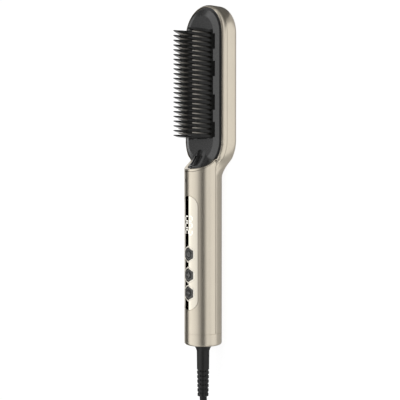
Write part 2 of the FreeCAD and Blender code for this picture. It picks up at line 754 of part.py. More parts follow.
def status_lens():
    half_x, half_t = (half - FIT_GAP / 4 for half in LENS_HALF)
    stem = slot_prism(half_x, LENS_STATION - half_t, LENS_STATION + half_t, AXIS_Z, FAR)
    stem = stem.translated(Vector(LENS_X, 0, 0)).common(bar(HANDLE_RADIUS, -FAR, FAR))
    stem = stem.cut(bar(COVER_RADIUS - COVER_WALL / 3, -FAR, FAR))
    reach = half_t + half_x
    flange = slot_prism(half_x * 2, LENS_STATION - reach, LENS_STATION + reach, AXIS_Z, FAR)
    flange = flange.translated(Vector(LENS_X, 0, 0)).common(bar(COVER_RADIUS, -FAR, FAR))
    flange = flange.cut(bar(COVER_RADIUS - COVER_WALL / 3, -FAR, FAR))
    return stem.fuse(flange).removeSplitter()


# Face plate and comb


def comb_window(z0, z1, grow=0.0):
    half = GUARD_HALF_WIDTH + FIT_GAP + grow
    end = WINDOW_HALF_LENGTH + grow
    return block(-half, half, COMB_CENTRE - end, COMB_CENTRE + end, z0, z1)


def ear_spots():
    ear = COMB_HALF_LENGTH + BASE_OVERHANG + EAR_LENGTH / 2
    return [(side * EAR_HALF_SPAN, COMB_CENTRE + end * ear) for side in (-1, 1) for end in (-1, 1)]


def face_plate():
    under_edge = PLATE_EDGE_Z - PLATE_WALL
    under_flat = PLATE_FLAT_Z - PLATE_WALL
    flange_out = RIM_INNER - FIT_GAP
    inner = PLATE_HALF_WIDTH - PLATE_WALL
    solid = long_round(
        (0.0, under_flat),
        [
            (PLATE_FLAT_HALF - PLATE_WALL / 3, under_flat),
            (inner, under_edge),
            (inner, LEDGE_TOP_Z),
            (flange_out, LEDGE_TOP_Z),
            (flange_out, FLANGE_TOP_Z),
            (PLATE_HALF_WIDTH, FLANGE_TOP_Z),
            (PLATE_HALF_WIDTH, PLATE_EDGE_Z),
            (PLATE_FLAT_HALF, PLATE_FLAT_Z),
            (0.0, PLATE_FLAT_Z),
        ],
        LOW_CENTRE,
        TOP_CENTRE,
    )
    solid = solid.common(beyond_ramp(0.0)).cut(cowl_room().common(cowl_body(PLATE_WALL)))
    cowl = cowl_strip(0.0, PLATE_WALL).common(bar(COVER_RADIUS - LIP_GROOVE, 0, FAR))
    edge = cowl_strip(PLATE_WALL / 2, PLATE_WALL).common(bar(COVER_RADIUS - FIT_GAP, 0, FAR))
    ear_top = BASE_Z + EAR_THICK
    bosses = [post(x, t, ear_top, under_flat + PLATE_WALL / 2, BOSS_RADIUS) for x, t in ear_spots()]
    edge_z = mix(under_edge, under_flat, (inner - LUG_HALF_SPAN) / (inner - PLATE_FLAT_HALF))
    lug_top = edge_z + PLATE_WALL / 2
    bosses += [post(x, t, LEDGE_TOP_Z, lug_top, BOSS_RADIUS - FIT_GAP) for x, t in lug_spots()]
    cuts = [comb_window(0, FAR)]
    depth = AXIS_Z + tab_rise() - GUARD_RISE
    for x0, x1, t0, t1 in tab_places(FIT_GAP):
        cuts.append(block(x0, x1, t0, t1, depth - FIT_GAP, FAR))
    cuts += [post(x, t, 0, under_flat, SCREW_RADIUS + SCREW_GAP) for x, t in ear_spots()]
    cuts += [post(x, t, 0, edge_z - PLATE_WALL / 4, SCREW_RADIUS + SCREW_GAP) for x, t in lug_spots()]
    cuts.append(ion_box(0.0))
    screw_room = BASE_TOP_Z + SCREW_HEAD + REST_GAP
    cuts += [post(x, t, 0, screw_room, SCREW_HEAD_RADIUS + REST_GAP) for x, t in head_posts()]
    return solid.fuse([cowl, edge] + bosses).cut(cuts).removeSplitter()


def tab_rise():
    """Top of the guard's side tabs over the axis, just under the bevel beside them."""
    fall = (PLATE_FLAT_RISE - PLATE_EDGE_RISE) / (PLATE_HALF_WIDTH - PLATE_FLAT_HALF)
    return PLATE_FLAT_RISE - fall * (GUARD_HALF_WIDTH + TAB_REACH - PLATE_FLAT_HALF) - GUARD_RISE / 2


def tab_places(grow):
    inner = GUARD_HALF_WIDTH - GUARD_RAIL / 2
    outer = GUARD_HALF_WIDTH + TAB_REACH + grow
    places = []
    for share in TAB_SHARES:
        middle = COMB_CENTRE + TAB_SHIFT + share * COMB_HALF_LENGTH
        t0 = middle - TAB_LENGTH / 2 - grow
        t1 = middle + TAB_LENGTH / 2 + grow
        places += [(inner, outer, t0, t1), (-outer, -inner, t0, t1)]
    return places


def fin(half, foot_z, shoulder_z, tip_z, valley_z, base, tip):
    """One upright comb row at station 0: two pointed teeth with a valley between them."""
    top = tip_z - FIN_TOP_ROUND
    outer = TOOTH_HALF_SPAN + FIN_TOP_ROUND
    inner = TOOTH_HALF_SPAN - FIN_TOP_ROUND
    side = (mix(half, outer, 0.3), mix(shoulder_z, top, 0.55))
    hollow = (inner * 0.55, mix(valley_z, top, 0.28))
    steps = [
        (half, shoulder_z),
        (*side, outer, top),
        (TOOTH_HALF_SPAN, tip_z, inner, top),
        (*hollow, 0.0, valley_z),
        (-hollow[0], hollow[1], -inner, top),
        (-TOOTH_HALF_SPAN, tip_z, -outer, top),
        (-side[0], side[1], -half, shoulder_z),
        (-half, foot_z),
    ]
    face = closed_face((half, foot_z), steps, along_x(-base / 2))
    lean = FIN_LEAN * (tip_z - foot_z) / (GUARD_TIP_RISE - GUARD_RISE)
    waist = base * FIN_DRAFT / 2
    waist_z = tip_z - FIN_TAPER
    outline = [(base / 2, foot_z), (waist, waist_z), (tip / 2, tip_z), (-tip / 2, tip_z), (-waist, waist_z)]
    wedge = across((-base / 2, foot_z), outline, 2 * half)
    blade = face.extrude(Vector(0, base, 0)).common(wedge)
    blade.rotate(Vector(0, 0, foot_z), Vector(1, 0, 0), -math.degrees(math.atan2(lean, tip_z - foot_z)))
    return blade


def row_stations(count):
    return [COMB_CENTRE + (k - (count - 1) / 2) * ROW_PITCH for k in range(count)]


def comb_guard():
    low = BASE_TOP_Z
    high = PLATE_FLAT_Z + GUARD_RISE
    raised = low + SCREW_HEAD + REST_GAP
    half = GUARD_HALF_WIDTH
    inside = half - GUARD_RAIL
    end = ROWS_HALF_LENGTH
    inner_end = end - ROW_END - GUARD_FIN_BASE / 2
    frame = block(-half, half, COMB_CENTRE - end, COMB_CENTRE + end, low, high)
    hollow = block(-inside, inside, COMB_CENTRE - inner_end, COMB_CENTRE + inner_end, 0, FAR)
    relief = block(-inside, inside, COMB_CENTRE - end, COMB_CENTRE + end, 0, raised)
    frame = frame.cut([hollow, relief])
    foot_in = inside - EAR_HALF_WIDTH
    foot_out = half - GUARD_RAIL / 2
    feet = []
    for side in (-1, 1):
        t0, t1 = sorted((COMB_CENTRE + side * (end - GUARD_RAIL), COMB_CENTRE + side * COMB_HALF_LENGTH))
        feet.append(block(foot_in, foot_out, t0, t1, low, low + GUARD_FOOT))
        feet.append(block(-foot_out, -foot_in, t0, t1, low, low + GUARD_FOOT))
    screw_holes = [post(x, t, 0, FAR, SCREW_HEAD_RADIUS + REST_GAP) for x, t in head_posts()]
    feet = [foot.cut(screw_holes) for foot in feet]
    tab_top = AXIS_Z + tab_rise()
    tabs = [block(x0, x1, t0, t1, tab_top - GUARD_RISE, tab_top) for x0, x1, t0, t1 in tab_places(0.0)]
    heights = (raised, high, AXIS_Z + GUARD_TIP_RISE, AXIS_Z + GUARD_VALLEY_RISE)
    row = fin(half - LEAST_EDGE, *heights, GUARD_FIN_BASE, GUARD_FIN_TIP)
    rows = [row.translated(Vector(0, t, 0)) for t in row_stations(ROW_COUNT)]
    return frame.fuse(feet + tabs + rows).removeSplitter()


def heating_comb():
    half = METAL_HALF_WIDTH + GUARD_RAIL / 2
    end = COMB_HALF_LENGTH + BASE_OVERHANG
    base = block(-half, half, COMB_CENTRE - end, COMB_CENTRE + end, BASE_Z, BASE_TOP_Z)
    row = fin(METAL_HALF_WIDTH, BASE_TOP_Z - LEAST_EDGE, PLATE_FLAT_Z, AXIS_Z + METAL_TIP_RISE,
              AXIS_Z + METAL_VALLEY_RISE, METAL_FIN_BASE, METAL_FIN_TIP)
    rows = [row.translated(Vector(0, t, 0)) for t in row_stations(ROW_COUNT - 1)]
    ears = []
    for x, t in ear_spots():
        ears.append(block(x - EAR_HALF_WIDTH, x + EAR_HALF_WIDTH, t - EAR_LENGTH / 2, t + EAR_LENGTH / 2,
                          BASE_Z, BASE_Z + EAR_THICK))
    holes = [post(x, t, 0, FAR, SCREW_RADIUS + SCREW_GAP) for x, t in ear_spots() + head_posts()]
    drilled = BASE_TOP_Z - BASE_THICK / 4
    holes += [post(0, t, 0, drilled, SCREW_RADIUS + SCREW_GAP) for t in clamp_screw_stations()]
    return base.fuse(rows + ears).cut(holes).removeSplitter()


def heater_layer(half_length, z0, z1):
    """A flat layer as wide as the heater under the comb's base."""
    wide = HEATER_HALF_WIDTH
    return block(-wide, wide, COMB_CENTRE - half_length, COMB_CENTRE + half_length, z0, z1)


def heater_element():
    return heater_layer(HEATER_LENGTH / 2, BASE_Z - HEATER_THICK, BASE_Z)


def insulation_sheet():
    top = BASE_Z - HEATER_THICK
    return heater_layer(HEATER_LENGTH / 2, top - SHEET_THICK, top)


def clamp_screw_stations():
    return [COMB_CENTRE + s * (CLAMP_HALF_LENGTH - CLAMP_END / 2) for s in (-1, 1)]


def heater_clamp():
    top = BASE_Z - HEATER_THICK - SHEET_THICK
    strip = heater_layer(CLAMP_HALF_LENGTH, top - CLAMP_THICK, top)
    feet = [
        block(-CLAMP_FOOT, CLAMP_FOOT, t - CLAMP_END / 2, t + CLAMP_END / 2, top, BASE_Z)
        for t in clamp_screw_stations()
    ]
    holes = [post(0, t, 0, FAR, SCREW_RADIUS + SCREW_GAP) for t in clamp_screw_stations()]
    return strip.fuse(feet).cut(holes).removeSplitter()


def sensor(x, size):
    """A round-backed sensor against the underside of the comb's base."""
    wide, long, high = size
    body = centred(size, COMB_CENTRE, BASE_Z - high).translated(Vector(x, 0, 0))
    edges = [e for e in body.Edges if e.BoundBox.ZMax < BASE_Z - high / 2 and e.BoundBox.YLength > wide]
    return body.makeFillet(high / 2, edges)


def thermistor():
    return sensor(SENSOR_OFFSET, THERMISTOR_SIZE)


def thermal_fuse():
    return sensor(-SENSOR_OFFSET, FUSE_SIZE)


# Ion unit


def ion_box(grow):
    half = ION_HALF_WIDTH + grow
    return block(-half, half, ION_START - grow, ION_END + grow, AXIS_Z, FAR)


def ion_grille():
    insert = cowl_strip(PLATE_WALL / 2, PLATE_WALL + FIT_GAP).common(ion_box(-FIT_GAP))
    flange = cowl_strip(PLATE_WALL + FIT_GAP / 2, GRILLE_DEPTH).common(ion_box(PLATE_WALL / 2))
    flange = flange.common(bar(COVER_RADIUS - FIT_GAP, 0, FAR))
    slot_start = ION_START + GRILLE_END
    slot_end = ION_END - GRILLE_END
    slots = []
    for k in range(SLAT_COUNT + 1):
        x0 = -ION_HALF_WIDTH + k * (SLAT_GAP + SLAT_WIDTH)
        x1 = x0 + SLAT_GAP
        slots.append(block(x0 + FIT_GAP, x1 - FIT_GAP, slot_start, slot_end, 0, FAR))
    return insert.fuse(flange).cut(slots).removeSplitter()


def cowl_inward(t):
    """Direction into the cowl, square to it, at a station."""
    across_t = t - COWL_CENTRE[0]
    return Vector(0, across_t, -math.sqrt(COWL_BEND**2 - across_t**2)).normalize()


def ion_emitter():
    way = cowl_inward((ION_START + ION_END) / 2)
    inner = COWL_RADIUS - GRILLE_DEPTH
    sag = inner - math.sqrt(inner**2 - EMITTER_RADIUS**2)
    back = Vector(0, *COWL_CENTRE) + way * (COWL_BEND + GRILLE_DEPTH + sag + TURN_GAP)
    holder = Part.makeCylinder(EMITTER_RADIUS, EMITTER_LENGTH, back, way)
    needles = []
    for side in (-1, 1):
        x = side * (SLAT_GAP + SLAT_WIDTH) / 2
        needles.append(Part.makeCone(*NEEDLE_RADII, NEEDLE_LENGTH, back + Vector(x, 0, 0), way * -1))
    return holder.fuse(needles).removeSplitter()


def ion_block_z():
    inner = HANDLE_RADIUS - SHELL_WALL
    return AXIS_Z - math.sqrt(inner**2 - (ION_BLOCK_WIDTH / 2) ** 2) + REST_GAP


def ion_block(z0, z1):
    half = ION_BLOCK_WIDTH / 2
    return block(-half, half, ION_BLOCK_START, ION_BLOCK_START + ION_BLOCK_LENGTH, z0, z1)


def ion_generator():
    body = ion_block(ion_block_z(), AXIS_Z - ION_BLOCK_DROP)
    edges = [e for e in body.Edges if e.BoundBox.ZLength > ION_BLOCK_EDGE]
    return body.makeFillet(ION_BLOCK_EDGE, edges)


# Controls


def control_panel():
    skin = slot_prism(PANEL_HALF_WIDTH, PANEL_START, PANEL_END, AXIS_Z, FAR)
    skin = skin.common(bar(HANDLE_RADIUS, -FAR, FAR)).cut(bar(HANDLE_RADIUS - PANEL_THICK, -FAR, FAR))
    core_half = WINDOW_HALF_WIDTH - FIT_GAP
    core = slot_prism(core_half, WINDOW_START + FIT_GAP, WINDOW_END - FIT_GAP, PANEL_FLOOR_Z, FAR)
    core = core.common(bar(HANDLE_RADIUS - PANEL_THICK / 2, -FAR, FAR))
    holes = [hex_prism(t, BUTTON_RADIUS + SLIDE_GAP, 0, FAR) for t in BUTTON_STATIONS.values()]
    return skin.fuse(core).cut(holes).removeSplitter()


def button(t):
    cap = hex_prism(t, BUTTON_RADIUS, BUTTON_FLANGE_Z, BUTTON_TOP_Z)
    edges = [e for e in cap.Edges if e.BoundBox.ZMin > BUTTON_TOP_Z - LEAST_EDGE]
    cap = cap.makeFillet(BUTTON_EDGE, edges)
    flange_top = BUTTON_FLANGE_Z + BUTTON_FLANGE_THICK
    flange = hex_prism(t, BUTTON_RADIUS + BUTTON_FLANGE, BUTTON_FLANGE_Z, flange_top)
    stem = post(0, t, PLUNGER_TOP_Z, BUTTON_FLANGE_Z, STEM_RADIUS)
    return cap.fuse([flange, stem]).removeSplitter()


def plunger(t):
    return post(0, t, SWITCH_TOP_Z - PLUNGER_DEPTH, PLUNGER_TOP_Z, PLUNGER_RADIUS)


def tact_switches():
    bodies = []
    half = SWITCH_SIZE / 2
    for t in BUTTON_STATIONS.values():
        body = block(-half, half, t - half, t + half, BOARD_TOP_Z, SWITCH_TOP_Z)
        depth = PLUNGER_DEPTH + BUTTON_TRAVEL + REST_GAP
        bodies.append(body.cut(post(0, t, SWITCH_TOP_Z - depth, FAR, PLUNGER_RADIUS + TURN_GAP)))
    return Part.makeCompound(bodies)


def control_board():
    board = block(-BOARD_HALF_WIDTH, BOARD_HALF_WIDTH, BOARD_START, BOARD_END, BOARD_Z, BOARD_TOP_Z)
    edges = [e for e in board.Edges if e.BoundBox.ZLength > BOARD_THICK / 2]
    board = board.makeFillet(BOARD_CORNER, edges)
    return board.cut([post(x, t, 0, FAR, SCREW_RADIUS + SCREW_GAP) for x, t in board_posts()])


def centred(size, t, z):
    """A box of a given size that stands over the handle's axis."""
    wide, long, high = size
    return block(-wide / 2, wide / 2, t - long / 2, t + long / 2, z, z + high)


def display_module():
    return centred((DISPLAY_WIDTH, DISPLAY_LENGTH, DISPLAY_HEIGHT), DISPLAY_STATION, BOARD_TOP_Z)


def board_components():
    """Parts that hang under the board, and the low one on top of it."""
    length = BOARD_END - BOARD_START
    capacitor_size = (COMPONENT_WIDTH, length * CAPACITOR_SHARE, CAPACITOR_HEIGHT)
    driver_size = (COMPONENT_WIDTH, length * DRIVER_SHARE, DRIVER_HEIGHT)
    can_station = BOARD_START + length * CAN_PLACE
    half = length * CAN_SHARE / 2
    can = bar(CAN_RADIUS, can_station - half, can_station + half, 0.0, BOARD_Z - CAN_RADIUS)
    foot = CAN_RADIUS / 2
    seat = block(-foot, foot, can_station - half, can_station + half, BOARD_Z - foot, BOARD_Z)
    capacitor = centred(capacitor_size, BOARD_START + length * CAPACITOR_PLACE, BOARD_Z - CAPACITOR_HEIGHT)
    driver = centred(driver_size, BOARD_START + length * DRIVER_PLACE, BOARD_Z - DRIVER_HEIGHT)
    chip = centred(CHIP_SIZE, CHIP_STATION, BOARD_TOP_Z)
    return Part.makeCompound([capacitor, can.fuse(seat).removeSplitter(), driver, chip])


# End cap and swivelling sleeve


def end_cap():
    flat = HANDLE_RADIUS - CAP_ROUND
    bend = CAP_ROUND * (1 - math.sqrt(0.5))
    bore = NECK_RADIUS + TURN_GAP
    return turned(
        (0.0, bore),
        [
            (0.0, flat),
            (bend, HANDLE_RADIUS - bend, CAP_ROUND, HANDLE_RADIUS),
            (CAP_LENGTH, HANDLE_RADIUS),
            (CAP_LENGTH, SPIGOT_RADIUS),
            (CAP_LENGTH + CAP_SPIGOT, SPIGOT_RADIUS),
            (CAP_LENGTH + CAP_SPIGOT, SPIGOT_BORE),
            (CAP_STEP, SPIGOT_BORE),
            (CAP_STEP, SEAT_BORE),
            (CAP_FLOOR, SEAT_BORE),
            (CAP_FLOOR, bore),
        ],
    )


def collar_start():
    return CAP_FLOOR + REST_GAP


def spigot_end():
    return ring_stations()[-1] + RING_WIDTH + REST_GAP


def ring_stations():
    first = CAP_STEP + RETAINER_THICK + REST_GAP
    return [first, first + RING_STEP]


def sleeve_slots():
    """Rings of four slots each, which leave bridges between the ribs."""
    slots = []
    for k in range(RIB_COUNT):
        t1 = -RIB_START - k * RIB_PITCH
        ring = bar(FLARE_RADIUS, t1 - RIB_SLOT, t1).cut(bar(RIB_CORE, t1 - RIB_SLOT, t1))
        half = RIB_BRIDGE / 2
        cross = [
            block(-FAR, FAR, t1 - RIB_SLOT, t1, AXIS_Z - half, AXIS_Z + half),
            block(-half, half, t1 - RIB_SLOT, t1, -FAR, FAR),
        ]
        for bridge in cross:
            bridge.rotate(Vector(0, 0, AXIS_Z), Vector(0, 1, 0), 5.0)
        slots.append(ring.cut(cross))
    return slots


def strain_relief():
    socket = CORD_DIAMETER / 2 + SOCKET_GAP
    start = collar_start()
    flare_mid = (-REST_GAP - FLARE_LENGTH * 0.4, mix(FLARE_RADIUS, SLEEVE_TOP_RADIUS, 0.6))
    body = turned(
        (spigot_end(), 0.0),
        [
            (spigot_end(), INNER_SPIGOT),
            (start + COLLAR_THICK, INNER_SPIGOT),
            (start + COLLAR_THICK, COLLAR_RADIUS),
            (start, COLLAR_RADIUS),
            (start, NECK_RADIUS),
            (-REST_GAP, NECK_RADIUS),
            (-REST_GAP, FLARE_RADIUS),
            (*flare_mid, -REST_GAP - FLARE_LENGTH, SLEEVE_TOP_RADIUS),
            (-RIB_START, SLEEVE_MID_RADIUS),
            (SLEEVE_END, SLEEVE_END_RADIUS),
            (SLEEVE_END, socket),
            (SLEEVE_END + SOCKET_DEPTH, socket),
            (SLEEVE_END + SOCKET_DEPTH, 0.0),
        ],
    )
    return body.cut(sleeve_slots()).removeSplitter()


def ring(t0, t1, inner, outer):
    return bar(outer, t0, t1).cut(bar(inner, t0, t1))


def swivel_retainer():
    return ring(CAP_STEP, CAP_STEP + RETAINER_THICK, INNER_SPIGOT + REST_GAP, SPIGOT_BORE - TURN_GAP)


def slip_rings():
    return Part.makeCompound([ring(t, t + RING_WIDTH, INNER_SPIGOT, RING_RADIUS) for t in ring_stations()])


def contact_block():
    start = CAP_STEP + RETAINER_THICK
    body = ring(start, start + CONTACT_LENGTH, CONTACT_BORE, SPIGOT_BORE - TURN_GAP)
    return body.cut([brush.copy() for brush in brush_bodies(SCREW_GAP / 2)])


def brush_bodies(grow):
    bodies = []
    for t, side in zip(ring_stations(), (-1, 1)):
        x0, x1 = sorted((side * (RING_RADIUS + REST_GAP), side * (CONTACT_BORE + BRUSH_ROOT + grow)))
        half = RING_WIDTH / 2 + grow
        mid = t + RING_WIDTH / 2
        high = BRUSH_HALF_HEIGHT + grow
        bodies.append(block(x0, x1, mid - half, mid + half, AXIS_Z - high, AXIS_Z + high))
    return bodies


def brush_contacts():
    return Part.makeCompound(brush_bodies(0.0))


# Cords and leads


def bent_path(points):
    """Straight runs joined by tangent arcs as large as their runs allow, and the arcs' radii."""
    spots = [Vector(*p) for p in points]
    edges = []
    radii = []
    here = spots[0]
    for a, b, c in zip(spots, spots[1:], spots[2:]):
        back = (a - b).normalize()
        ahead = (c - b).normalize()
        half_turn = (math.pi - back.getAngle(ahead)) / 2
        cut = 0.45 * min((a - b).Length, (c - b).Length)
        radius = cut / math.tan(half_turn)
        start = b + back * cut
        end = b + ahead * cut
        middle = b + (back + ahead).normalize() * (radius / math.cos(half_turn) - radius)
        edges.append(Part.LineSegment(here, start).toShape())
        edges.append(Part.Arc(start, middle, end).toShape())
        radii.append(radius)
        here = end
    edges.append(Part.LineSegment(here, spots[-1]).toShape())
    return Part.Wire(edges), radii


def tube_along(wire, diameter):
    first = wire.OrderedEdges[0]
    start = first.valueAt(first.FirstParameter)
    way = first.tangentAt(first.FirstParameter)
    section = Part.Wire(Part.makeCircle(diameter / 2, start, way))
    pipe = Part.BRepOffsetAPI.MakePipeShell(wire)
    pipe.add(section)
    pipe.build()
    pipe.makeSolid()
    return pipe.shape()


def say_tube(name, solid, wire, diameter, radii):
    expected = math.pi / 4 * diameter**2 * wire.Length
    print(name, "length", round(wire.Length, 1), "volume share", round(solid.Volume / expected, 4),
          "radii", [round(r, 1) for r in radii])


def cord():
    wire, radii = bent_path(CORD_POINTS)
    solid = tube_along(wire, CORD_DIAMETER)
    say_tube("cord", solid, wire, CORD_DIAMETER, radii)
    return solid


def lead_pair(points):
    leads = []
    for side in (-1, 1):
        wire, _ = bent_path([(side * x, t, z) for x, t, z in points])
        leads.append(tube_along(wire, LEAD_DIAMETER))
    return Part.makeCompound(leads)


def mains_leads():
    start = CAP_STEP + RETAINER_THICK + CONTACT_LENGTH
    outer = CONTACT_BORE + (SPIGOT_BORE - CONTACT_BORE) / 2
    inner = outer - 2 * LEAD_STEP
    low = AXIS_Z - LEAD_STEP
    tail = BOARD_START + 3.5 * LEAD_STEP
    return lead_pair([
        (outer, start, AXIS_Z),
        (outer, start + LEAD_RUN, AXIS_Z),
        (outer - LEAD_STEP, BOARD_START - 3 * LEAD_STEP, low),
        (inner, BOARD_START + 1.5 * LEAD_STEP, low),
        (inner, tail, BOARD_Z - 2 * LEAD_STEP),
        (inner, tail, BOARD_Z),
    ])


def heater_leads():
    low = BASE_Z - (HEATER_THICK + SHEET_THICK) / 2
    inner = HEATER_HALF_WIDTH - LEAD_DIAMETER
    outer = inner + LEAD_STEP / 2
    tail = BOARD_END - 2 * LEAD_STEP
    return lead_pair([
        (inner, tail, BOARD_Z),
        (inner, tail, BOARD_Z - 1.2 * LEAD_STEP),
        (outer, BOARD_END + 2 * LEAD_STEP, AXIS_Z + LEAD_STEP / 2),
        (outer + LEAD_STEP / 3, BLEND_START, AXIS_Z - LEAD_STEP / 3),
        (outer, RAMP_FOOT[0] + LEAD_STEP / 2, low - 0.6 * LEAD_STEP),
        (inner, COMB_CENTRE - CLAMP_HALF_LENGTH - 2 * LEAD_STEP, low),
        (inner, COMB_CENTRE - HEATER_LENGTH / 2, low),
    ])


# Hank: the loops spiral in and out again, and climb a layer along a run


def hank_centre():
    end = CORD_POINTS[-1]
    return Vector(end[0] - hank_outer(), end[1] - CORD_DIAMETER - HANK_HALF_RUN, end[2])


def hank_outer():
    return HANK_FOLD + HANK_STEP * HANK_LAYERS[0] / 8


def hank_spot(step, radius, rise, slope=0.0):
    """Point and direction at one of the eight marks of a loop."""
    waist = radius - HANK_WAIST
    run = HANK_HALF_RUN
    marks = [
        ((radius, run), (0, -1)),
        ((waist, 0), (0, -1)),
        ((radius, -run), (0, -1)),
        ((0, -run - radius), (-1, 0)),
        ((-radius, -run), (0, 1)),
        ((-waist, 0), (0, 1)),
        ((-radius, run), (0, 1)),
        ((0, run + radius), (1, 0)),
    ]
    (x, y), (wx, wy) = marks[step % 8]
    return hank_centre() + Vector(x, y, rise), Vector(wx, wy, slope).normalize()


def hank_marks():
    """All marks of the hank from the cord's end to the plug's tail."""
    radius = hank_outer()
    step = 0
    rise = 0.0
    marks = [hank_spot(step, radius, rise)]
    for layer, count in enumerate(HANK_LAYERS):
        change = -HANK_STEP / 8 if layer % 2 == 0 else HANK_STEP / 8
        for _ in range(count):
            step += 1
            radius += change
            marks.append(hank_spot(step, radius, rise))
        if layer < len(HANK_LAYERS) - 1:
            slope = 1.5 * HANK_LAYER / (HANK_CLIMB * HANK_HALF_RUN)
            marks.append(hank_spot(step + 1, radius, rise + HANK_LAYER / 2, slope))
            marks.append(hank_spot(step + 2, radius, rise + HANK_LAYER))
            step += HANK_CLIMB
            rise += HANK_LAYER
    marks.append(hank_spot(step + 1, radius + change, rise))
    radius += 2 * change
    marks.append(hank_spot(step + 2, radius, rise + HANK_TAIL_RISES[0], HANK_TAIL_SLOPES[0]))
    middle = hank_centre()
    fold = HANK_TAIL_FOLD
    apex = middle + Vector(radius - fold, -HANK_HALF_RUN - fold, rise + HANK_TAIL_RISES[1])
    marks.append((apex, Vector(-1, 0, HANK_TAIL_SLOPES[1]).normalize()))
    back = middle + Vector(radius - 2 * fold, -HANK_HALF_RUN, plug_z() - middle.z)
    marks.append((back, Vector(0, 1, 0)))
    return marks


def plug_z():
    top = CORD_POINTS[-1][2] + (len(HANK_LAYERS) - 1) * HANK_LAYER + CORD_DIAMETER / 2
    return top + REST_GAP + PLUG_HALF_HEIGHT


def arc_edge(start, way, end):
    """The arc that leaves a point in a given direction and ends at another."""
    chord = end - start
    along = Vector(chord).normalize()
    aside = way - along * way.dot(along)
    if aside.Length < 1e-6:
        return Part.LineSegment(start, end).toShape()
    angle = way.getAngle(along)
    middle = (start + end) * 0.5 + aside.normalize() * (chord.Length / 2 * math.tan(angle / 2))
    return Part.Arc(start, middle, end).toShape()


def biarc(mark0, mark1):
    """Two arcs that join two points and keep the direction at both."""
    (p0, w0), (p1, w1) = mark0, mark1
    gap = p1 - p0
    both = w0 + w1
    turn = 2 * (1 - w0.dot(w1))
    if turn < 1e-9:
        reach = gap.dot(gap) / (4 * gap.dot(w1))
    else:
        reach = (math.sqrt(gap.dot(both) ** 2 + turn * gap.dot(gap)) - gap.dot(both)) / turn
    joint = (p0 + p1 + (w0 - w1) * reach) * 0.5
    return [arc_edge(p0, w0, joint), arc_edge(p1, w1 * -1, joint)]


def hank_wire():
    marks = hank_marks()
    lead_in = marks[0][0] - marks[0][1] * CORD_DIAMETER
    plug_rear = hank_centre().y + PLUG_REAR
    edges = [Part.LineSegment(lead_in, marks[0][0]).toShape()]
    for a, b in zip(marks, marks[1:]):
        edges += biarc(a, b)
    last = marks[-1][0]
    edges.append(Part.LineSegment(last, Vector(last.x, plug_rear, last.z)).toShape())
    return Part.Wire(edges)


def least_gap(wire, diameter):
    """Least gap between parts of a tube that are more than a few diameters apart along it."""
    spacing = diameter / 3
    points = wire.discretize(int(wire.Length / spacing))
    apart = int(3 * diameter / spacing)
    least = FAR
    for k, a in enumerate(points):
        for b in points[k + apart:]:
            if abs(a.z - b.z) < 2 * diameter and abs(a.x - b.x) < 2 * diameter:
                least = min(least, a.distanceToPoint(b))
    return least - diameter


def cord_hank():
    wire = hank_wire()
    solid = tube_along(wire, CORD_DIAMETER)
    say_tube("cord_hank", solid, wire, CORD_DIAMETER, [])
    print("cord_hank least gap to itself", round(least_gap(wire, CORD_DIAMETER), 3))
    return solid


def cord_tie():
    """A strap round the waist of the hank, as wide as the loops are there."""
    radius = CORD_DIAMETER / 2 + REST_GAP
    t0 = hank_centre().y + TIE_SHIFT - TIE_WIDTH / 2
    t1 = t0 + TIE_WIDTH
    wire = hank_wire()
    points = [p for p in wire.discretize(int(wire.Length)) if t0 - 1 < p.y < t1 + 1]
    points = [p for p in points if p.z < plug_z() - radius]
    x0 = min(p.x for p in points) - radius
    x1 = max(p.x for p in points) + radius
    z0 = min(p.z for p in points) - radius
    z1 = max(p.z for p in points) + radius
    outer = block(x0 - TIE_THICK, x1 + TIE_THICK, t0, t1, z0 - TIE_THICK, z1 + TIE_THICK)
    inner = block(x0, x1, t0, t1, z0, z1)
    outer = outer.makeFillet(radius + TIE_THICK, [e for e in outer.Edges if e.BoundBox.YLength > 1])
    inner = inner.makeFillet(radius, [e for e in inner.Edges if e.BoundBox.YLength > 1])
    return outer.cut(inner)


def plug_place():
    """Middle of the plug's rear face."""
    last = hank_marks()[-1][0]
    return Vector(last.x, hank_centre().y + PLUG_REAR, last.z)


def rounded_section(t, half_wide, half_high, corner, centre):
    x, z = centre
    bend = corner * (1 - math.sqrt(0.5))
    a, b = half_wide, half_high
    steps = [
        (a, b - corner),
        (a - bend, b - bend, a - corner, b),
        (corner - a, b),
        (bend - a, b - bend, -a, b - corner),
        (-a, corner - b),
        (bend - a, bend - b, corner - a, -b),
        (a - corner, -b),
        (a - bend, bend - b, a, corner - b),
    ]
    return closed_face(steps[0], steps[1:] + [steps[0]], lambda p, q: Vector(x + p, t, z + q)).OuterWire


def plug_body():
    rear = plug_place()
    centre = (rear.x, rear.z)
    start = rear.y
    neck = PLUG_NECK_RADIUS
    small = neck - LEAST_EDGE
    shoulder = (PLUG_HALF_WIDTH * 0.86, PLUG_HALF_HEIGHT * 0.9)
    sections = [
        rounded_section(start, neck, neck, small, centre),
        rounded_section(start + PLUG_NECK_LENGTH * 0.6, neck * 1.1, neck, small, centre),
        rounded_section(start + PLUG_NECK_LENGTH, *shoulder, PLUG_CORNER, centre),
        rounded_section(start + PLUG_LENGTH * 0.6, PLUG_HALF_WIDTH, PLUG_HALF_HEIGHT, PLUG_CORNER, centre),
        rounded_section(start + PLUG_LENGTH, PLUG_HALF_WIDTH, PLUG_HALF_HEIGHT, PLUG_CORNER, centre),
    ]
    return Part.makeLoft(sections, True, True)


def plug_blades():
    rear = plug_place()
    thick, long, wide = BLADE_SIZE
    t0 = rear.y + PLUG_LENGTH
    blades = []
    for side in (-1, 1):
        x = rear.x + side * BLADE_SPACING / 2
        blade = block(x - thick / 2, x + thick / 2, t0, t0 + long, rear.z - wide / 2, rear.z + wide / 2)
        blades.append(blade)
    return Part.makeCompound(blades)


# Fasteners


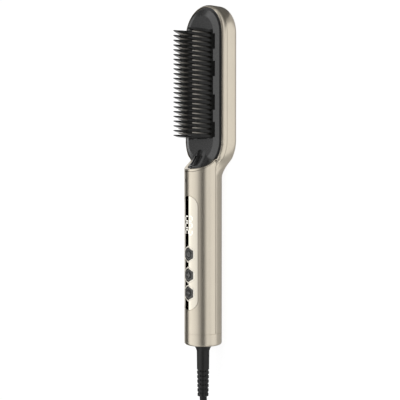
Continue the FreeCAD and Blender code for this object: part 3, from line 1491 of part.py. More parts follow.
def closing_screws():
    screws = [screw(x, t, BASE_TOP_Z, HEAD_SCREW, up=False) for x, t in head_posts()]
    screws += [screw(0, t, handle_screw_seat(), HANDLE_SCREW, up=False) for t in HANDLE_SCREWS]
    return Part.makeCompound(screws)


def board_screws():
    return Part.makeCompound([screw(x, t, BOARD_TOP_Z, BOARD_SCREW, up=False) for x, t in board_posts()])


def heater_screws():
    screws = [screw(x, t, BASE_Z, EAR_SCREW) for x, t in ear_spots()]
    seat = BASE_Z - HEATER_THICK - SHEET_THICK - CLAMP_THICK
    screws += [screw(0, t, seat, CLAMP_SCREW) for t in clamp_screw_stations()]
    return Part.makeCompound(screws)


def face_screws():
    return Part.makeCompound([screw(x, t, LEDGE_Z, FACE_SCREW) for x, t in lug_spots()])


def parts():
    outer = outer_body()
    shell = hollow_body(outer.copy())
    made = {
        "rear_shell": rear_shell(shell.copy()),
        "head_frame": head_frame(outer),
        "handle_cover": handle_cover(shell),
        "control_panel": control_panel(),
        "status_lens": status_lens(),
        "face_plate": face_plate(),
        "comb_guard": comb_guard(),
        "heating_comb": heating_comb(),
        "heater_element": heater_element(),
        "insulation_sheet": insulation_sheet(),
        "heater_clamp": heater_clamp(),
        "thermistor": thermistor(),
        "thermal_fuse": thermal_fuse(),
        "ion_grille": ion_grille(),
        "ion_emitter": ion_emitter(),
        "ion_generator": ion_generator(),
        "control_board": control_board(),
        "board_components": board_components(),
        "display_module": display_module(),
        "tact_switches": tact_switches(),
        "end_cap": end_cap(),
        "strain_relief": strain_relief(),
        "slip_rings": slip_rings(),
        "swivel_retainer": swivel_retainer(),
        "contact_block": contact_block(),
        "brush_contacts": brush_contacts(),
        "mains_leads": mains_leads(),
        "heater_leads": heater_leads(),
        "closing_screws": closing_screws(),
        "board_screws": board_screws(),
        "heater_screws": heater_screws(),
        "face_screws": face_screws(),
        "cord": cord(),
        "cord_hank": cord_hank(),
        "cord_tie": cord_tie(),
        "plug_body": plug_body(),
        "plug_blades": plug_blades(),
    }
    for name, t in BUTTON_STATIONS.items():
        made[name + "_button"] = button(t)
        made[name + "_plunger"] = plunger(t)
    return made


os.makedirs("parts", exist_ok=True)
for node, shape in parts().items():
    shape = shape.translated(Vector(0, ORIGIN_SHIFT, 0))
    shape.exportStep("parts/" + node + ".step")
    state = "valid" if shape.isValid() else "NOT VALID"
    print(node, len(shape.Solids), "solids", state, round(shape.Volume, 1))
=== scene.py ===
import json
import math

import bpy
from mathutils import Matrix, Vector


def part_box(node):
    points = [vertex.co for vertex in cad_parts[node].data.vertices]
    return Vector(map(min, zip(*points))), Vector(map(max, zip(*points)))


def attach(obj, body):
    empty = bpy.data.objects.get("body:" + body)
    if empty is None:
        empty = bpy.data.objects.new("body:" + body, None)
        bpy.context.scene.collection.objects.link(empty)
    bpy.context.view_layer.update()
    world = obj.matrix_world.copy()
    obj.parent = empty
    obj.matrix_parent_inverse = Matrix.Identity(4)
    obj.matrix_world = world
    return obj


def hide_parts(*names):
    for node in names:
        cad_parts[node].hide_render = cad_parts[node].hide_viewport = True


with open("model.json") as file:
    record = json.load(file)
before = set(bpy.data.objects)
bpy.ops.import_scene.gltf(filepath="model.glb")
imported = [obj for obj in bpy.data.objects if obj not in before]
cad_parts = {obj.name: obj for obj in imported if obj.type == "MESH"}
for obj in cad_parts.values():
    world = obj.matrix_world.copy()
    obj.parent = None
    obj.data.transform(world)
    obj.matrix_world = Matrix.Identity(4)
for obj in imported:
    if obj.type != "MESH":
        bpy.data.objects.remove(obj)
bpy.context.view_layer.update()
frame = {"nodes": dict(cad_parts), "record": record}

# Looks of a heated straightening comb that lies on its back. Lengths are in metres, apart from those in
# lists, of the cord's hank and of the camera's sensor, which are in millimetres.

NODES = frame["nodes"]
SCENE = bpy.context.scene
MM = 0.001

# Places and sizes that the solids have too
AXIS_Z = 16.2 * MM
HANDLE_RADIUS = 16.2 * MM
BODY_MIDDLE = Vector((0, 22.5 * MM, AXIS_Z))
DISPLAY_Y = -20.3 * MM
BUTTON_Y = {"power": -44.9 * MM, "plus": -62.7 * MM, "minus": -78.1 * MM}
BUTTON_TOP_Z = 32.4 * MM

# Noise in all materials: its usual range, slow clouds, and fine grain with its share of the roughness
NOISE_LOW = 0.3
NOISE_HIGH = 0.7
CLOUD_SCALE = 35.0
CLOUD_DETAIL = 3.0
GRAIN_DETAIL = 2.0
GRAIN_DEPTH = 0.05 * MM
GLOSS_SPREAD = 0.12


# Node graphs


def node(tree, kind, inputs=None, **settings):
    """Adds a shader node, sets its properties, and fills or links its inputs."""
    made = tree.nodes.new(kind)
    for key, value in settings.items():
        setattr(made, key, value)
    for key, value in (inputs or {}).items():
        if isinstance(value, bpy.types.NodeSocket):
            tree.links.new(value, made.inputs[key])
        else:
            made.inputs[key].default_value = value
    return made


def blank_material(name):
    """A new material, its node tree and its shader."""
    made = bpy.data.materials.new(name)
    made.use_nodes = True
    tree = made.node_tree
    return made, tree, tree.nodes["Principled BSDF"]


def noise(tree, scale, detail, stretch=(1, 1, 1)):
    """Noise in the object's own coordinates, from 0 to 1."""
    place = node(tree, "ShaderNodeTexCoord").outputs["Object"]
    stretched = node(tree, "ShaderNodeMapping", {"Vector": place, "Scale": stretch}).outputs["Vector"]
    inputs = {"Vector": stretched, "Scale": scale, "Detail": detail}
    return node(tree, "ShaderNodeTexNoise", inputs).outputs["Fac"]


def spread(tree, value, low, high):
    """Noise spread between two numbers."""
    ends = {"Value": value, "From Min": NOISE_LOW, "From Max": NOISE_HIGH, "To Min": low, "To Max": high}
    return node(tree, "ShaderNodeMapRange", ends).outputs["Result"]


def shade(colour, factor):
    """A colour made lighter or darker."""
    return tuple(min(c * factor, 1.0) for c in colour) + (1.0,)


def mixed(tree, factor, first, second, blend_type="MIX"):
    """A colour mixed from two others."""
    inputs = {"Factor": factor, "A": first, "B": second}
    return node(tree, "ShaderNodeMix", inputs, data_type="RGBA", blend_type=blend_type).outputs["Result"]


def grey_ramp(tree, value, stops):
    """Grey over a value from 0 to 1. Each stop is a place and a level."""
    ramp = node(tree, "ShaderNodeValToRGB", {"Fac": value})
    elements = ramp.color_ramp.elements
    while len(elements) < len(stops):
        elements.new(0.5)
    for element, (place, level) in zip(elements, stops):
        element.position = place
        element.color = (level, level, level, 1.0)
    return ramp.outputs["Color"]


def moulded(name, colour, roughness, grain=900.0, bump=0.05, tone=0.06, stretch=(1, 1, 1), sockets=None):
    """A material with slow tone changes, fine grain in its gloss and a slight relief."""
    made, tree, shader = blank_material(name)
    cloud = spread(tree, noise(tree, CLOUD_SCALE, CLOUD_DETAIL), 0.0, 1.0)
    fine = noise(tree, grain, GRAIN_DETAIL, stretch)
    base = mixed(tree, cloud, shade(colour, 1 - tone), shade(colour, 1 + tone))
    gloss = spread(tree, fine, roughness * (1 - GLOSS_SPREAD), roughness * (1 + GLOSS_SPREAD))
    relief = node(tree, "ShaderNodeBump", {"Height": fine, "Strength": bump, "Distance": GRAIN_DEPTH})
    tree.links.new(base, shader.inputs["Base Color"])
    tree.links.new(gloss, shader.inputs["Roughness"])
    tree.links.new(relief.outputs["Normal"], shader.inputs["Normal"])
    for socket, value in (sockets or {}).items():
        shader.inputs[socket].default_value = value
    return made


def paint_light_and_shade_by_height(made, tones):
    """Paints light and shade into a material's colour: multiplies it by a tone that changes with the
    height over the floor.
    """
    tree = made.node_tree
    base = tree.nodes["Principled BSDF"].inputs["Base Color"]
    colour = base.links[0].from_socket
    place = node(tree, "ShaderNodeTexCoord").outputs["Object"]
    height = node(tree, "ShaderNodeSeparateXYZ", {"Vector": place}).outputs["Z"]
    low = tones[0][0]
    high = tones[-1][0]
    ends = {"Value": height, "From Min": low * MM, "From Max": high * MM}
    share = node(tree, "ShaderNodeMapRange", ends).outputs["Result"]
    stops = [((level - low) / (high - low), tone) for level, tone in tones]
    shaded = mixed(tree, 1.0, colour, grey_ramp(tree, share, stops), "MULTIPLY")
    tree.links.new(shaded, base)
    return made


# Materials

# Tones by height: painted light on the plate, whose bevel is painted paler than its flat as if lit from
# the side, and painted shade on the metal teeth, which are painted darker towards their roots between
# the fins
PLATE_PAINTED_LIGHT_TONES = [(16.0, 0.88), (16.7, 0.88), (16.8, 1.0), (18.95, 1.0), (19.05, 0.36), (20.0, 0.36)]
# Painted shade: the metal teeth darken towards their roots, where shade falls between the fins
METAL_PAINTED_SHADE_TONES = [
    (19.0, 0.05),
    (25.0, 0.06),
    (27.0, 0.12),
    (29.0, 0.23),
    (31.0, 0.48),
    (33.0, 0.82),
    (36.0, 1.0),
]
METAL = {"Metallic": 1.0}
DISPLAY_GLOW = {"Emission Color": (1.0, 0.97, 0.89, 1.0), "Emission Strength": 0.45}
MATERIALS = {
    "champagne_shell": moulded(
        "champagne", (0.76, 0.69, 0.57), roughness=0.31, grain=2600.0, bump=0.03, tone=0.02,
        sockets={"Metallic": 0.98}),
    "gloss_panel": moulded(
        "panel_gloss", (0.88, 0.82, 0.70), roughness=0.035, grain=300.0, bump=0.01, tone=0.01,
        sockets=METAL),
    "dark_lens": moulded(
        "lens", (0.008, 0.008, 0.008), roughness=0.08, sockets={"Specular IOR Level": 0.3}),
    # Painted light: the plate's bevel is painted paler than its flat top, as if lit
    "black_plate": paint_light_and_shade_by_height(
        moulded("plate_black", (0.038, 0.038, 0.0373), roughness=0.26, grain=1800.0, bump=0.06,
                tone=0.08, sockets={"Specular IOR Level": 0.8}),
        PLATE_PAINTED_LIGHT_TONES),
    "black_comb": moulded(
        "comb_black", (0.012, 0.012, 0.0115), roughness=0.14, grain=1500.0, bump=0.01, tone=0.1,
        sockets={"Specular IOR Level": 0.25}),
    # Painted shade: the metal teeth are painted darker towards their roots, between the fins
    "heated_metal": paint_light_and_shade_by_height(
        moulded("comb_metal", (0.46, 0.427, 0.375), roughness=0.25, grain=1200.0, bump=0.06, tone=0.08,
                stretch=(1, 1, 0.2), sockets={"Metallic": 0.2}),
        METAL_PAINTED_SHADE_TONES),
    "heater_ceramic": moulded("ceramic", (0.75, 0.72, 0.66), roughness=0.6),
    "insulation": moulded(
        "insulation", (0.6, 0.52, 0.36), roughness=0.8, grain=700.0, bump=0.4, tone=0.1),
    "spring_steel": moulded("steel", (0.5, 0.5, 0.5), roughness=0.35, sockets=METAL),
    "sensor_body": moulded("sensor", (0.7, 0.68, 0.6), roughness=0.55),
    "inner_plastic": moulded("inner_plastic", (0.05, 0.05, 0.05), roughness=0.5),
    "board": moulded("board", (0.02, 0.12, 0.05), roughness=0.35),
    "button_plastic": moulded("button", (0.075, 0.074, 0.072), roughness=0.4, grain=1500.0, bump=0.1),
    "sleeve_rubber": moulded(
        "sleeve", (0.0085, 0.0085, 0.0082), roughness=0.4, grain=1500.0, bump=0.1, tone=0.1,
        sockets={"Specular IOR Level": 0.42}),
    "cord_rubber": moulded(
        "cord_skin", (0.011, 0.011, 0.0108), roughness=0.48, grain=1500.0, bump=0.1, tone=0.1,
        sockets={"Specular IOR Level": 0.35}),
    "tie_rubber": moulded("tie", (0.02, 0.02, 0.02), roughness=0.6, grain=1200.0, bump=0.2, tone=0.1),
    "plug_rubber": moulded(
        "plug", (0.018, 0.018, 0.0175), roughness=0.45, grain=1500.0, bump=0.1, tone=0.1),
    "display_light": moulded("display_light", (0.85, 0.83, 0.77), roughness=0.3, sockets=DISPLAY_GLOW),
    "sign_print": moulded("sign_print", (0.16, 0.16, 0.155), roughness=0.45),
    "bezel_cream": moulded(
        "bezel_cream", (0.86, 0.81, 0.71), roughness=0.35, grain=1500.0, bump=0.03, tone=0.03,
        sockets={"Metallic": 0.25}),
    "contact_brass": moulded(
        "brass", (0.62, 0.48, 0.22), roughness=0.25, bump=0.04, tone=0.05, sockets=METAL),
}


def dress_nodes():
    """Gives every solid the material of its slot."""
    for part in frame["record"]["subparts"]:
        mesh = NODES[part["node"]].data
        mesh.materials.clear()
        mesh.materials.append(MATERIALS[part["material_slot"]])


dress_nodes()


# Mesh pieces


def new_piece(name, shape, look, body):
    """A piece with the given vertices and faces, which rides on a body."""
    vertices, faces = shape
    mesh = bpy.data.meshes.new(name)
    mesh.from_pydata(vertices, [], faces)
    mesh.update()
    mesh.materials.append(MATERIALS[look])
    piece = bpy.data.objects.new(name, mesh)
    SCENE.collection.objects.link(piece)
    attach(piece, body)
    return piece


def skin(rows, count, closed):
    """Faces over rows of points that are closed loops. A closed skin joins its last row to its first."""
    faces = []
    for k in range(rows if closed else rows - 1):
        after = (k + 1) % rows
        for a in range(count):
            b = (a + 1) % count
            faces.append((k * count + a, k * count + b, after * count + b, after * count + a))
    return faces


def ribbon(path, widths, place, low, high):
    """Vertices and faces of a closed strip along a flat path, between two heights over a surface."""
    vertices = []
    for k, (u, v) in enumerate(path):
        before = path[max(k - 1, 0)]
        after = path[min(k + 1, len(path) - 1)]
        along = Vector((after[0] - before[0], after[1] - before[1])).normalized()
        for side, height in ((1, low), (1, high), (-1, high), (-1, low)):
            reach = side * widths[k] / 2
            vertices.append(place(u - along.y * reach, v + along.x * reach, height))
    last = len(vertices) - 4
    ends = [(3, 2, 1, 0), (last, last + 1, last + 2, last + 3)]
    return vertices, skin(len(path), 4, closed=False) + ends


def joined(parts):
    """Vertices and faces of several shapes as one."""
    vertices = []
    faces = []
    for more, links in parts:
        faces += [tuple(k + len(vertices) for k in face) for face in links]
        vertices += more
    return vertices, faces


# A bar: the steps between its two points, and a point's length and tip in shares of the bar's width
BAR_STEPS = 6
BAR_POINT = 0.5
BAR_TIP = 0.25


def straight(start, end, width):
    """Path and widths of a bar whose two ends come to blunt points."""
    point = width * BAR_POINT / math.dist(start, end)
    shares = [0.0]
    shares += [point + (1 - 2 * point) * k / BAR_STEPS for k in range(BAR_STEPS + 1)]
    shares += [1.0]
    path = [tuple(a + (b - a) * s for a, b in zip(start, end)) for s in shares]
    widths = [width * BAR_TIP] + [width] * (len(path) - 2) + [width * BAR_TIP]
    return path, widths


# Number on the display

MARK_SINK = 0.04 * MM
MARK_RISE = 0.05 * MM
DIGITS = "200"
DIGIT_WIDTH = 4.0 * MM
DIGIT_HEIGHT = 8.4 * MM
DIGIT_PITCH = 5.8 * MM
SEGMENT_WIDTH = 1.0 * MM
SEGMENT_GAP = 0.12 * MM
SEGMENT_INSET = SEGMENT_WIDTH / 4 + SEGMENT_GAP
SEGMENTS = {"0": "abcdef", "2": "abged"}

# The two ends of each bar of a seven-bar digit, in shares of its width and height
SEGMENT_ENDS = {
    "a": ((-0.5, 0.5), (0.5, 0.5)),
    "b": ((0.5, 0.5), (0.5, 0.0)),
    "c": ((0.5, 0.0), (0.5, -0.5)),
    "d": ((-0.5, -0.5), (0.5, -0.5)),
    "e": ((-0.5, 0.0), (-0.5, -0.5)),
    "f": ((-0.5, 0.5), (-0.5, 0.0)),
    "g": ((-0.5, 0.0), (0.5, 0.0)),
}


def on_panel(u, v, height):
    """A place on the round panel: u runs along the handle, v is up for the digits, towards -X."""
    radius = HANDLE_RADIUS + height
    angle = -v / HANDLE_RADIUS
    return (radius * math.sin(angle), DISPLAY_Y + u, AXIS_Z + radius * math.cos(angle))


def make_digits():
    """The number on the display, from raised bars."""
    parts = []
    for k, digit in enumerate(DIGITS):
        middle = (k - (len(DIGITS) - 1) / 2) * DIGIT_PITCH
        for letter in SEGMENTS[digit]:
            ends = SEGMENT_ENDS[letter]
            start, end = [Vector((middle + x * DIGIT_WIDTH, y * DIGIT_HEIGHT)) for x, y in ends]
            inset = (end - start).normalized() * SEGMENT_INSET
            path, widths = straight(start + inset, end - inset, SEGMENT_WIDTH)
            parts.append(ribbon(path, widths, on_panel, -MARK_SINK, MARK_RISE))
    new_piece("display_digits", joined(parts), "display_light", "comb")


# Keys

KEY_RADIUS = 5.8 * MM
KEY_CORNER = 1.1 * MM
KEY_STEPS = 6
KEY_POINTS = 6 * (KEY_STEPS + 1)
KEY_DISH = -0.22 * MM

# Rings of a rounded hexagon, from the outer foot upwards and inwards: drawn in by, and height
KEY_RINGS = [
    (0.0, -3.2),
    (0.0, -0.75),
    (0.07, -0.4),
    (0.24, -0.16),
    (0.5, -0.04),
    (0.8, 0.0),
    (1.2, -0.02),
    (2.2, -0.1),
]
BEZEL_RINGS = [
    (-1.58, -0.5),
    (-1.58, 0.12),
    (-1.5, 0.23),
    (-1.4, 0.24),
    (-0.4, 0.05),
    (-0.3, 0.02),
    (-0.3, -0.35),
]


def rounded_hexagon(shrink):
    """Outline of a key with two corners along the handle, drawn in by a distance."""
    middle = KEY_RADIUS - KEY_CORNER / math.cos(math.radians(30))
    reach = KEY_CORNER - shrink
    outline = []
    for side in range(6):
        turn = math.radians(90 + 60 * side)
        for step in range(KEY_STEPS + 1):
            angle = turn + math.radians(60 * step / KEY_STEPS - 30)
            u = middle * math.cos(turn) + reach * math.cos(angle)
            v = middle * math.sin(turn) + reach * math.sin(angle)
            outline.append((u, v))
    return outline


def lofted(rings, place, closed):
    """Vertices and faces of a skin over rings of a rounded hexagon."""
    vertices = []
    for shrink, height in rings:
        vertices += [place(u, v, height * MM) for u, v in rounded_hexagon(shrink * MM)]
    return vertices, skin(len(rings), KEY_POINTS, closed)


def make_cap(key, middle):
    """A key with round corners and a slight dish."""
    def on_key(u, v, height):
        return (u, middle + v, BUTTON_TOP_Z + height)

    vertices, faces = lofted(KEY_RINGS, on_key, closed=False)
    last = len(vertices) - KEY_POINTS
    centre = len(vertices)
    vertices.append(on_key(0.0, 0.0, KEY_DISH))
    faces += [(last + a, last + (a + 1) % KEY_POINTS, centre) for a in range(KEY_POINTS)]
    faces.append(tuple(reversed(range(KEY_POINTS))))
    cap = new_piece(key + "_cap", (vertices, faces), "button_plastic", key + "_key")
    cap.data.shade_smooth()
    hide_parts(key + "_button")


def make_bezel(key, middle):
    """A thin bright ring round a key."""
    def on_handle(u, v, height):
        radius = HANDLE_RADIUS + height
        return (u, middle + v, AXIS_Z + math.sqrt(radius * radius - u * u))

    shape = lofted(BEZEL_RINGS, on_handle, closed=True)
    bezel = new_piece(key + "_bezel", shape, "bezel_cream", "comb")
    bezel.data.shade_smooth()


# Signs on the keys: an open ring with a bar, a plus and a minus

SIGN_WIDTH = 0.7 * MM
SIGN_REACH = 2.3 * MM
SIGN_DROP = -0.12 * MM
RING_RADIUS = 1.9 * MM
RING_OPEN = 40
RING_STEPS = 28
BAR_ENDS = (0.5 * MM, 2.7 * MM)


def ring_path():
    """An open ring whose gap is at its top."""
    path = []
    for k in range(RING_STEPS + 1):
        angle = math.radians(RING_OPEN + (360 - 2 * RING_OPEN) * k / RING_STEPS)
        path.append((RING_RADIUS * math.sin(angle), RING_RADIUS * math.cos(angle)))
    return path, [SIGN_WIDTH] * len(path)


def sign_paths(key):
    """Paths and widths of the strokes of a key's sign."""
    if key == "power":
        return [ring_path(), straight((0, BAR_ENDS[0]), (0, BAR_ENDS[1]), SIGN_WIDTH)]
    strokes = [straight((-SIGN_REACH, 0), (SIGN_REACH, 0), SIGN_WIDTH)]
    if key == "plus":
        for side in (-1, 1):
            strokes.append(straight((0, side * SIGN_WIDTH / 2), (0, side * SIGN_REACH), SIGN_WIDTH))
    return strokes


def make_sign(key, middle):
    """The raised sign on a key."""
    def on_key(u, v, height):
        return (u, middle + v, BUTTON_TOP_Z + SIGN_DROP + height)

    parts = [ribbon(path, widths, on_key, -MARK_SINK, MARK_RISE) for path, widths in sign_paths(key)]
    new_piece(key + "_sign", joined(parts), "sign_print", key + "_key")


# Gasket over the end cap: radius and Y round its section

SEAM_STEPS = 96
SEAM_RING = [
    (12.95, -113.08),
    (15.9, -113.08),
    (15.98, -113.02),
    (15.98, -112.88),
    (15.9, -112.82),
    (12.95, -112.82),
]


def make_gasket():
    """A thin gasket that closes the seam over the end cap, a little below the handle's skin."""
    vertices = []
    for k in range(SEAM_STEPS):
        angle = 2 * math.pi * k / SEAM_STEPS
        for radius, y in SEAM_RING:
            reach = radius * MM
            vertices.append((reach * math.cos(angle), y * MM, AXIS_Z + reach * math.sin(angle)))
    shape = (vertices, skin(SEAM_STEPS, len(SEAM_RING), closed=True))
    new_piece("cap_gasket", shape, "champagne_shell", "comb")


make_digits()
for button, button_y in BUTTON_Y.items():
    make_cap(button, button_y)
    make_bezel(button, button_y)
for button, button_y in BUTTON_Y.items():
    make_sign(button, button_y)
make_gasket()


# Cord: the route's points, then the hank's turns and the tail that leads up to the plug

CORD_DIAMETER = 6.2 * MM
CORD_ROUTE = [
    (0.0, -162.5, 16.2),
    (0.0, -179.5, 16.2),
    (5.0, -198.5, 11.5),
    (15.5, -215.5, 6.2),
    (23.25, -233.5, 4.7),
    (23.25, -250.5, 4.7),
]
HANK_CENTRE = (-6.6, -286.7, 4.7)
HANK_FOLD = 18.6
HANK_STEP = 7.5
HANK_LAYER = 6.7
HANK_HALF_RUN = 30.0
HANK_WAIST = 5.0
TAIL_FOLD = 19.0
TAIL_OFFSET = HANK_STEP / 4
TAIL_RISES = (0.0, 0.0, 2.0, 5.5, 8.2, 9.4, 10.2, 11.2)
PLUG_RISE = 31.5
PLUG_REAR = 10.5

# A turn has eight steps of two points. Each layer has so many steps, and two more climb to the next one.
TURN_STEPS = 8
HANK_LAYERS = (12, 10, 10, 10)
CLIMB_SHARES = (0.25, 0.75)

# Places of points on a run, in shares of its half, and at a fold, in shares of its radius
RUN_END = 0.55
RUN_MIDDLE = 0.27
FOLD_CORNER = math.tan(math.radians(22.5))


def half_turn(radius, fold):
    """Control points of a run with a slight waist, and of the fold after it."""
    run = HANK_HALF_RUN
    waist = radius - HANK_WAIST
    corner = fold * FOLD_CORNER
    middle = radius - fold
    return [
        (radius, run * RUN_END),
        (waist, run * RUN_MIDDLE),
        (waist, -run * RUN_MIDDLE),
        (radius, -run * RUN_END),
        (radius, -run - corner),
        (middle + corner, -run - fold),
        (middle - corner, -run - fold),
        (middle - fold, -run - corner),
    ]


def turn_points(step, radius, rise):
    """The two control points in one step of a turn, which starts at its right-hand top end."""
    half = half_turn(radius, radius)
    ring = half + [(-x, -y) for x, y in half]
    first = 2 * (step % TURN_STEPS)
    return [(x, y, rise) for x, y in ring[first:first + 2]]


def tail_points(radius, rise):
    """Control points of the last run and fold, which lead up to the plug."""
    flat = half_turn(radius, TAIL_FOLD)
    points = [(x, y, rise + up) for (x, y), up in zip(flat, TAIL_RISES)]
    far = flat[-1][0]
    return points + [(far, -HANK_HALF_RUN * RUN_END, PLUG_RISE), (far, PLUG_REAR, PLUG_RISE)]


def hank_points():
    """Control points of all turns: each layer winds in or out, and the next one lies on it."""
    radius = HANK_FOLD + HANK_STEP * HANK_LAYERS[0] / TURN_STEPS
    step = 0
    rise = 0.0
    points = []
    for layer, count in enumerate(HANK_LAYERS):
        change = HANK_STEP / TURN_STEPS * (1 if layer % 2 else -1)
        for _ in range(count):
            points += turn_points(step, radius + change / 2, rise)
            radius += change
            step += 1
        if layer < len(HANK_LAYERS) - 1:
            for share in CLIMB_SHARES:
                points += turn_points(step, radius, rise + share * HANK_LAYER)
                step += 1
            rise += HANK_LAYER
    return points + tail_points(radius + TAIL_OFFSET, rise)


# Strap round the hank

STRAP_CORNER = 4.6 * MM
STRAP_THICK = 1.2 * MM
STRAP_BEAD = 0.9 * MM
STRAP_EDGE = 0.2 * MM
RIB_EVERY = 1.6 * MM
RIB_VALLEY = 0.3 * MM
RIB_CREST = 0.045 * MM
CORNER_STEPS = 10


def strap_loop(low, high):
    """Points and outward directions of the strap's round-cornered loop, seen along the cord's runs."""
    (x0, z0), (x1, z1) = low, high
    r = STRAP_CORNER
    corners = [(x1 - r, z1 - r), (x0 + r, z1 - r), (x0 + r, z0 + r), (x1 - r, z0 + r)]
    centres = [Vector(corner) for corner in corners]
    loop = []
    for k, centre in enumerate(centres):
        for step in range(CORNER_STEPS + 1):
            angle = math.radians(90 * k + 90 * step / CORNER_STEPS)
            out = Vector((math.cos(angle), math.sin(angle)))
            loop.append((centre + out * r, out))
        start = loop[-1][0]
        end = centres[(k + 1) % 4] + out * r
        count = max(int((end - start).length / (RIB_EVERY / 2)) // 2 * 2, 2)
        loop += [(start.lerp(end, step / count), out) for step in range(1, count)]
    return loop


def make_strap():
    """A ribbed rubber strap with two smooth beads along its edges, in the place of the plain band."""
    (x0, y0, z0), (x1, y1, z1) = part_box("cord_tie")
    loop = strap_loop((x0, z0), (x1, z1))
    vertices = []
    for k, (place, out) in enumerate(loop):
        rib = RIB_VALLEY if k % 2 else RIB_CREST
        section = [
            (y0, STRAP_THICK),
            (y0, STRAP_EDGE),
            (y0 + STRAP_EDGE, 0.0),
            (y0 + STRAP_BEAD, 0.0),
            (y0 + STRAP_BEAD + STRAP_EDGE, rib),
            (y1 - STRAP_BEAD - STRAP_EDGE, rib),
            (y1 - STRAP_BEAD, 0.0),
            (y1 - STRAP_EDGE, 0.0),
            (y1, STRAP_EDGE),
            (y1, STRAP_THICK),
        ]
        for y, depth in section:
            point = place - out * depth
            vertices.append((point.x, y, point.y))
    shape = (vertices, skin(len(loop), len(section), closed=True))
    strap = new_piece("cord_strap", shape, "tie_rubber", "comb")
    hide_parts("cord_tie")
    return strap


# Grip of the plug

GRIP_COUNT = 5
GRIP_PITCH = 3.2 * MM
GRIP_WIDTH = 1.3 * MM
GRIP_REACH = 7.5 * MM
GRIP_RISE = 0.45 * MM
GRIP_ROUND = 0.27 * MM
GRIP_ROUND_STEPS = 3
GRIP_PLACE = 0.62
SHARP_ANGLE = 60


def make_grip():
    """Soft ribs on the two broad faces of the plug."""
    (x0, y0, z0), (x1, y1, z1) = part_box("plug_body")
    middle = (x0 + x1) / 2
    start = y0 + (y1 - y0) * GRIP_PLACE - (GRIP_COUNT - 1) / 2 * GRIP_PITCH
    bars = []
    for k in range(GRIP_COUNT):
        y = start + k * GRIP_PITCH
        bars.append(straight((-GRIP_REACH, y), (GRIP_REACH, y), GRIP_WIDTH))

    def on_top(u, v, height):
        return (middle + u, v, z1 + height)

    def on_bottom(u, v, height):
        return (middle - u, v, z0 - height)

    parts = []
    for place in (on_top, on_bottom):
        parts += [ribbon(path, widths, place, -GRIP_RISE, GRIP_RISE) for path, widths in bars]
    grip = new_piece("plug_grip", joined(parts), "plug_rubber", "comb")
    rounding = grip.modifiers.new("rounding", "BEVEL")
    rounding.width = GRIP_ROUND
    rounding.segments = GRIP_ROUND_STEPS
    rounding.angle_limit = math.radians(SHARP_ANGLE)
    return grip


def make_cord():
    """The mains cord with its hank, and the pieces on it."""
    curve = bpy.data.curves.new("mains_cord", "CURVE")
    curve.dimensions = "3D"
    curve.bevel_depth = CORD_DIAMETER / 2
    curve.bevel_resolution = 6
    curve.use_fill_caps = True
    curve.materials.append(MATERIALS["cord_rubber"])
    places = [Vector(p) * MM for p in CORD_ROUTE]
    places += [(Vector(HANK_CENTRE) + Vector(p)) * MM for p in hank_points()]
    spline = curve.splines.new("NURBS")
    spline.points.add(len(places) - 1)
    for point, place in zip(spline.points, places):
        point.co = (*place, 1.0)
    spline.order_u = 3
    spline.use_endpoint_u = True
    spline.resolution_u = 8
    piece = bpy.data.objects.new("mains_cord", curve)
    SCENE.collection.objects.link(piece)
    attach(piece, "comb")
    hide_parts("cord", "cord_hank")
    on_cord = [NODES["plug_body"], NODES["plug_blades"], make_grip(), make_strap()]


make_cord()


# Stage: floor, light and camera

FLOOR_REACH = (-4.0, 4.0)
FLOOR_HEIGHT = -0.2 * MM
FLOOR_COLOUR = (0.25, 0.25, 0.25, 1.0)
FLOOR_GLOW = 0.85
FLOOR_GLEAM = 0.26
WHITE = (1.0, 1.0, 1.0, 1.0)
CARD_SIDE = (28 * MM, 220 * MM)
CARD_ENDS = (-160 * MM, 158 * MM)
CARD_HEIGHT = 0.2 * MM
CARD_LEVEL = 0.42
FLAG_WIDE = (-60 * MM, 90 * MM)
FLAG_LONG = (163 * MM, 320 * MM)
FLAG_COLOUR = (0.12, 0.12, 0.12)
FLAG_ROUGHNESS = 0.9
FILL_DISTANCE = 0.7
FILL_SIZE = 0.35
FILL_POWER = 2.2
CAMERA_TILT = math.radians(50.0)
TOWARD_CAMERA = Vector((math.sin(CAMERA_TILT), 0, math.cos(CAMERA_TILT)))
CAMERA_RIGHT = Vector((math.cos(CAMERA_TILT), 0, -math.sin(CAMERA_TILT)))
CAMERA_DISTANCE = 0.78
CAMERA_FRAME = 0.3448
SENSOR_WIDTH = 36.0
AIM_RIGHT = -2.63 * MM
AIM_UP = -21.4 * MM

# Sky level by angle from the zenith towards +X, and the level that the camera shows
SKY = [
    (-100, 0.7),
    (-90, 0.7),
    (-86, 0.0),
    (-50, 0.0),
    (-47, 1.4),
    (-40, 1.25),
    (-25, 1.05),
    (-5, 0.95),
    (12, 0.82),
    (30, 0.4),
    (45, 0.02),
    (56, 0.0),
    (63, 0.35),
    (71, 0.88),
    (80, 0.95),
    (100, 0.95),
]
SKY_SPAN = 100
SKY_TOP = 1.4
WALL_LEVEL = 0.97


def number(tree, operation, first, second):
    """The result of a sum on two numbers."""
    return node(tree, "ShaderNodeMath", {0: first, 1: second}, operation=operation).outputs[0]


def stage_card(name, wide, long, height, material):
    """A flat rectangle with one material, laid level at a height."""
    (x0, x1), (y0, y1) = wide, long
    mesh = bpy.data.meshes.new(name)
    corners = [(x0, y0, height), (x1, y0, height), (x1, y1, height), (x0, y1, height)]
    mesh.from_pydata(corners, [], [(0, 1, 2, 3)])
    mesh.materials.append(material)
    card = bpy.data.objects.new(name, mesh)
    SCENE.collection.objects.link(card)
    return card


def area_lamp(name, wide, long, energy):
    """A rectangular lamp that the camera doesn't show."""
    data = bpy.data.lights.new(name, "AREA")
    data.shape = "RECTANGLE"
    data.size = wide
    data.size_y = long
    data.energy = energy
    lamp = bpy.data.objects.new(name, data)
    lamp.visible_camera = False
    SCENE.collection.objects.link(lamp)
    return lamp


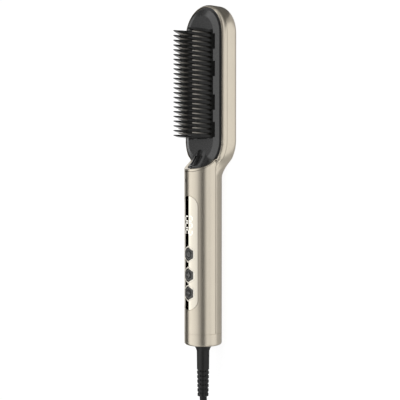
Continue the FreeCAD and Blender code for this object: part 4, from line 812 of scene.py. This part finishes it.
def make_floor():
    """A pale floor: white for the camera and through glass, and a little bright for mirror surfaces."""
    material, tree, shader = blank_material("floor")
    rays = node(tree, "ShaderNodeLightPath").outputs
    direct = number(tree, "MAXIMUM", rays["Is Camera Ray"], rays["Is Transmission Ray"])
    white = number(tree, "MULTIPLY", direct, FLOOR_GLOW)
    gleam = number(tree, "MULTIPLY", rays["Is Glossy Ray"], FLOOR_GLEAM)
    tree.links.new(number(tree, "MAXIMUM", white, gleam), shader.inputs["Emission Strength"])
    shader.inputs["Emission Color"].default_value = WHITE
    shader.inputs["Base Color"].default_value = FLOOR_COLOUR
    shader.inputs["Roughness"].default_value = 1.0
    shader.inputs["Specular IOR Level"].default_value = 0.0
    stage_card("floor", FLOOR_REACH, FLOOR_REACH, FLOOR_HEIGHT, material)


def make_cards():
    """Two long white cards on the floor beside the object, as lamps that shine up."""
    wide = CARD_SIDE[1] - CARD_SIDE[0]
    long = CARD_ENDS[1] - CARD_ENDS[0]
    energy = CARD_LEVEL * math.pi * wide * long
    for name, side in (("card_right", 1), ("card_left", -1)):
        card = area_lamp(name, wide, long, energy)
        card.location = (side * (CARD_SIDE[0] + wide / 2), CARD_ENDS[0] + long / 2, CARD_HEIGHT)
        card.rotation_euler = (math.pi, 0, 0)


def make_fill():
    """A soft lamp at the camera's side, which dull surfaces show and mirrors don't."""
    fill = area_lamp("fill", FILL_SIZE, FILL_SIZE, FILL_POWER)
    fill.location = BODY_MIDDLE + TOWARD_CAMERA * FILL_DISTANCE
    fill.rotation_euler = (0, CAMERA_TILT, 0)
    fill.visible_glossy = False


def make_flag():
    """A dark card on the floor beyond the head, which only mirror surfaces show."""
    material = moulded("flag_black", FLAG_COLOUR, FLAG_ROUGHNESS)
    flag = stage_card("flag", FLAG_WIDE, FLAG_LONG, CARD_HEIGHT, material)
    flag.visible_camera = False
    flag.visible_diffuse = False
    flag.visible_shadow = False


def make_sky():
    """A soft studio: a long light over the object and dark walls at both sides."""
    world = bpy.data.worlds.new("studio")
    SCENE.world = world
    world.use_nodes = True
    tree = world.node_tree
    way = node(tree, "ShaderNodeTexCoord").outputs["Generated"]
    parts = node(tree, "ShaderNodeSeparateXYZ", {"Vector": way}).outputs
    angle = number(tree, "ARCTAN2", parts["X"], parts["Z"])
    span = math.radians(SKY_SPAN)
    share = node(tree, "ShaderNodeMapRange", {"Value": angle, "From Min": -span, "From Max": span})
    stops = [((degrees + SKY_SPAN) / (2 * SKY_SPAN), level / SKY_TOP) for degrees, level in SKY]
    sky = grey_ramp(tree, share.outputs["Result"], stops)
    wall = shade((1.0, 1.0, 1.0), WALL_LEVEL / SKY_TOP)
    by_camera = node(tree, "ShaderNodeLightPath").outputs["Is Camera Ray"]
    background = tree.nodes["Background"]
    tree.links.new(mixed(tree, by_camera, sky, wall), background.inputs["Color"])
    background.inputs["Strength"].default_value = SKY_TOP


def make_camera():
    """A camera at the photograph's viewing angle, with the handle about upright in its picture."""
    place = BODY_MIDDLE + TOWARD_CAMERA * CAMERA_DISTANCE
    target = BODY_MIDDLE + CAMERA_RIGHT * AIM_RIGHT + Vector((0, AIM_UP, 0))
    back = (place - target).normalized()
    side = Vector((0, 1, 0)).cross(back).normalized()
    up = back.cross(side)
    data = bpy.data.cameras.new("camera")
    data.sensor_width = SENSOR_WIDTH
    data.lens = SENSOR_WIDTH * CAMERA_DISTANCE / CAMERA_FRAME
    camera = bpy.data.objects.new("camera", data)
    SCENE.collection.objects.link(camera)
    camera.matrix_world = Matrix.Translation(place) @ Matrix((side, up, back)).transposed().to_4x4()
    SCENE.camera = camera


make_floor()
make_cards()
make_fill()
make_flag()
make_sky()
make_camera()
SCENE.view_settings.view_transform = "Standard"
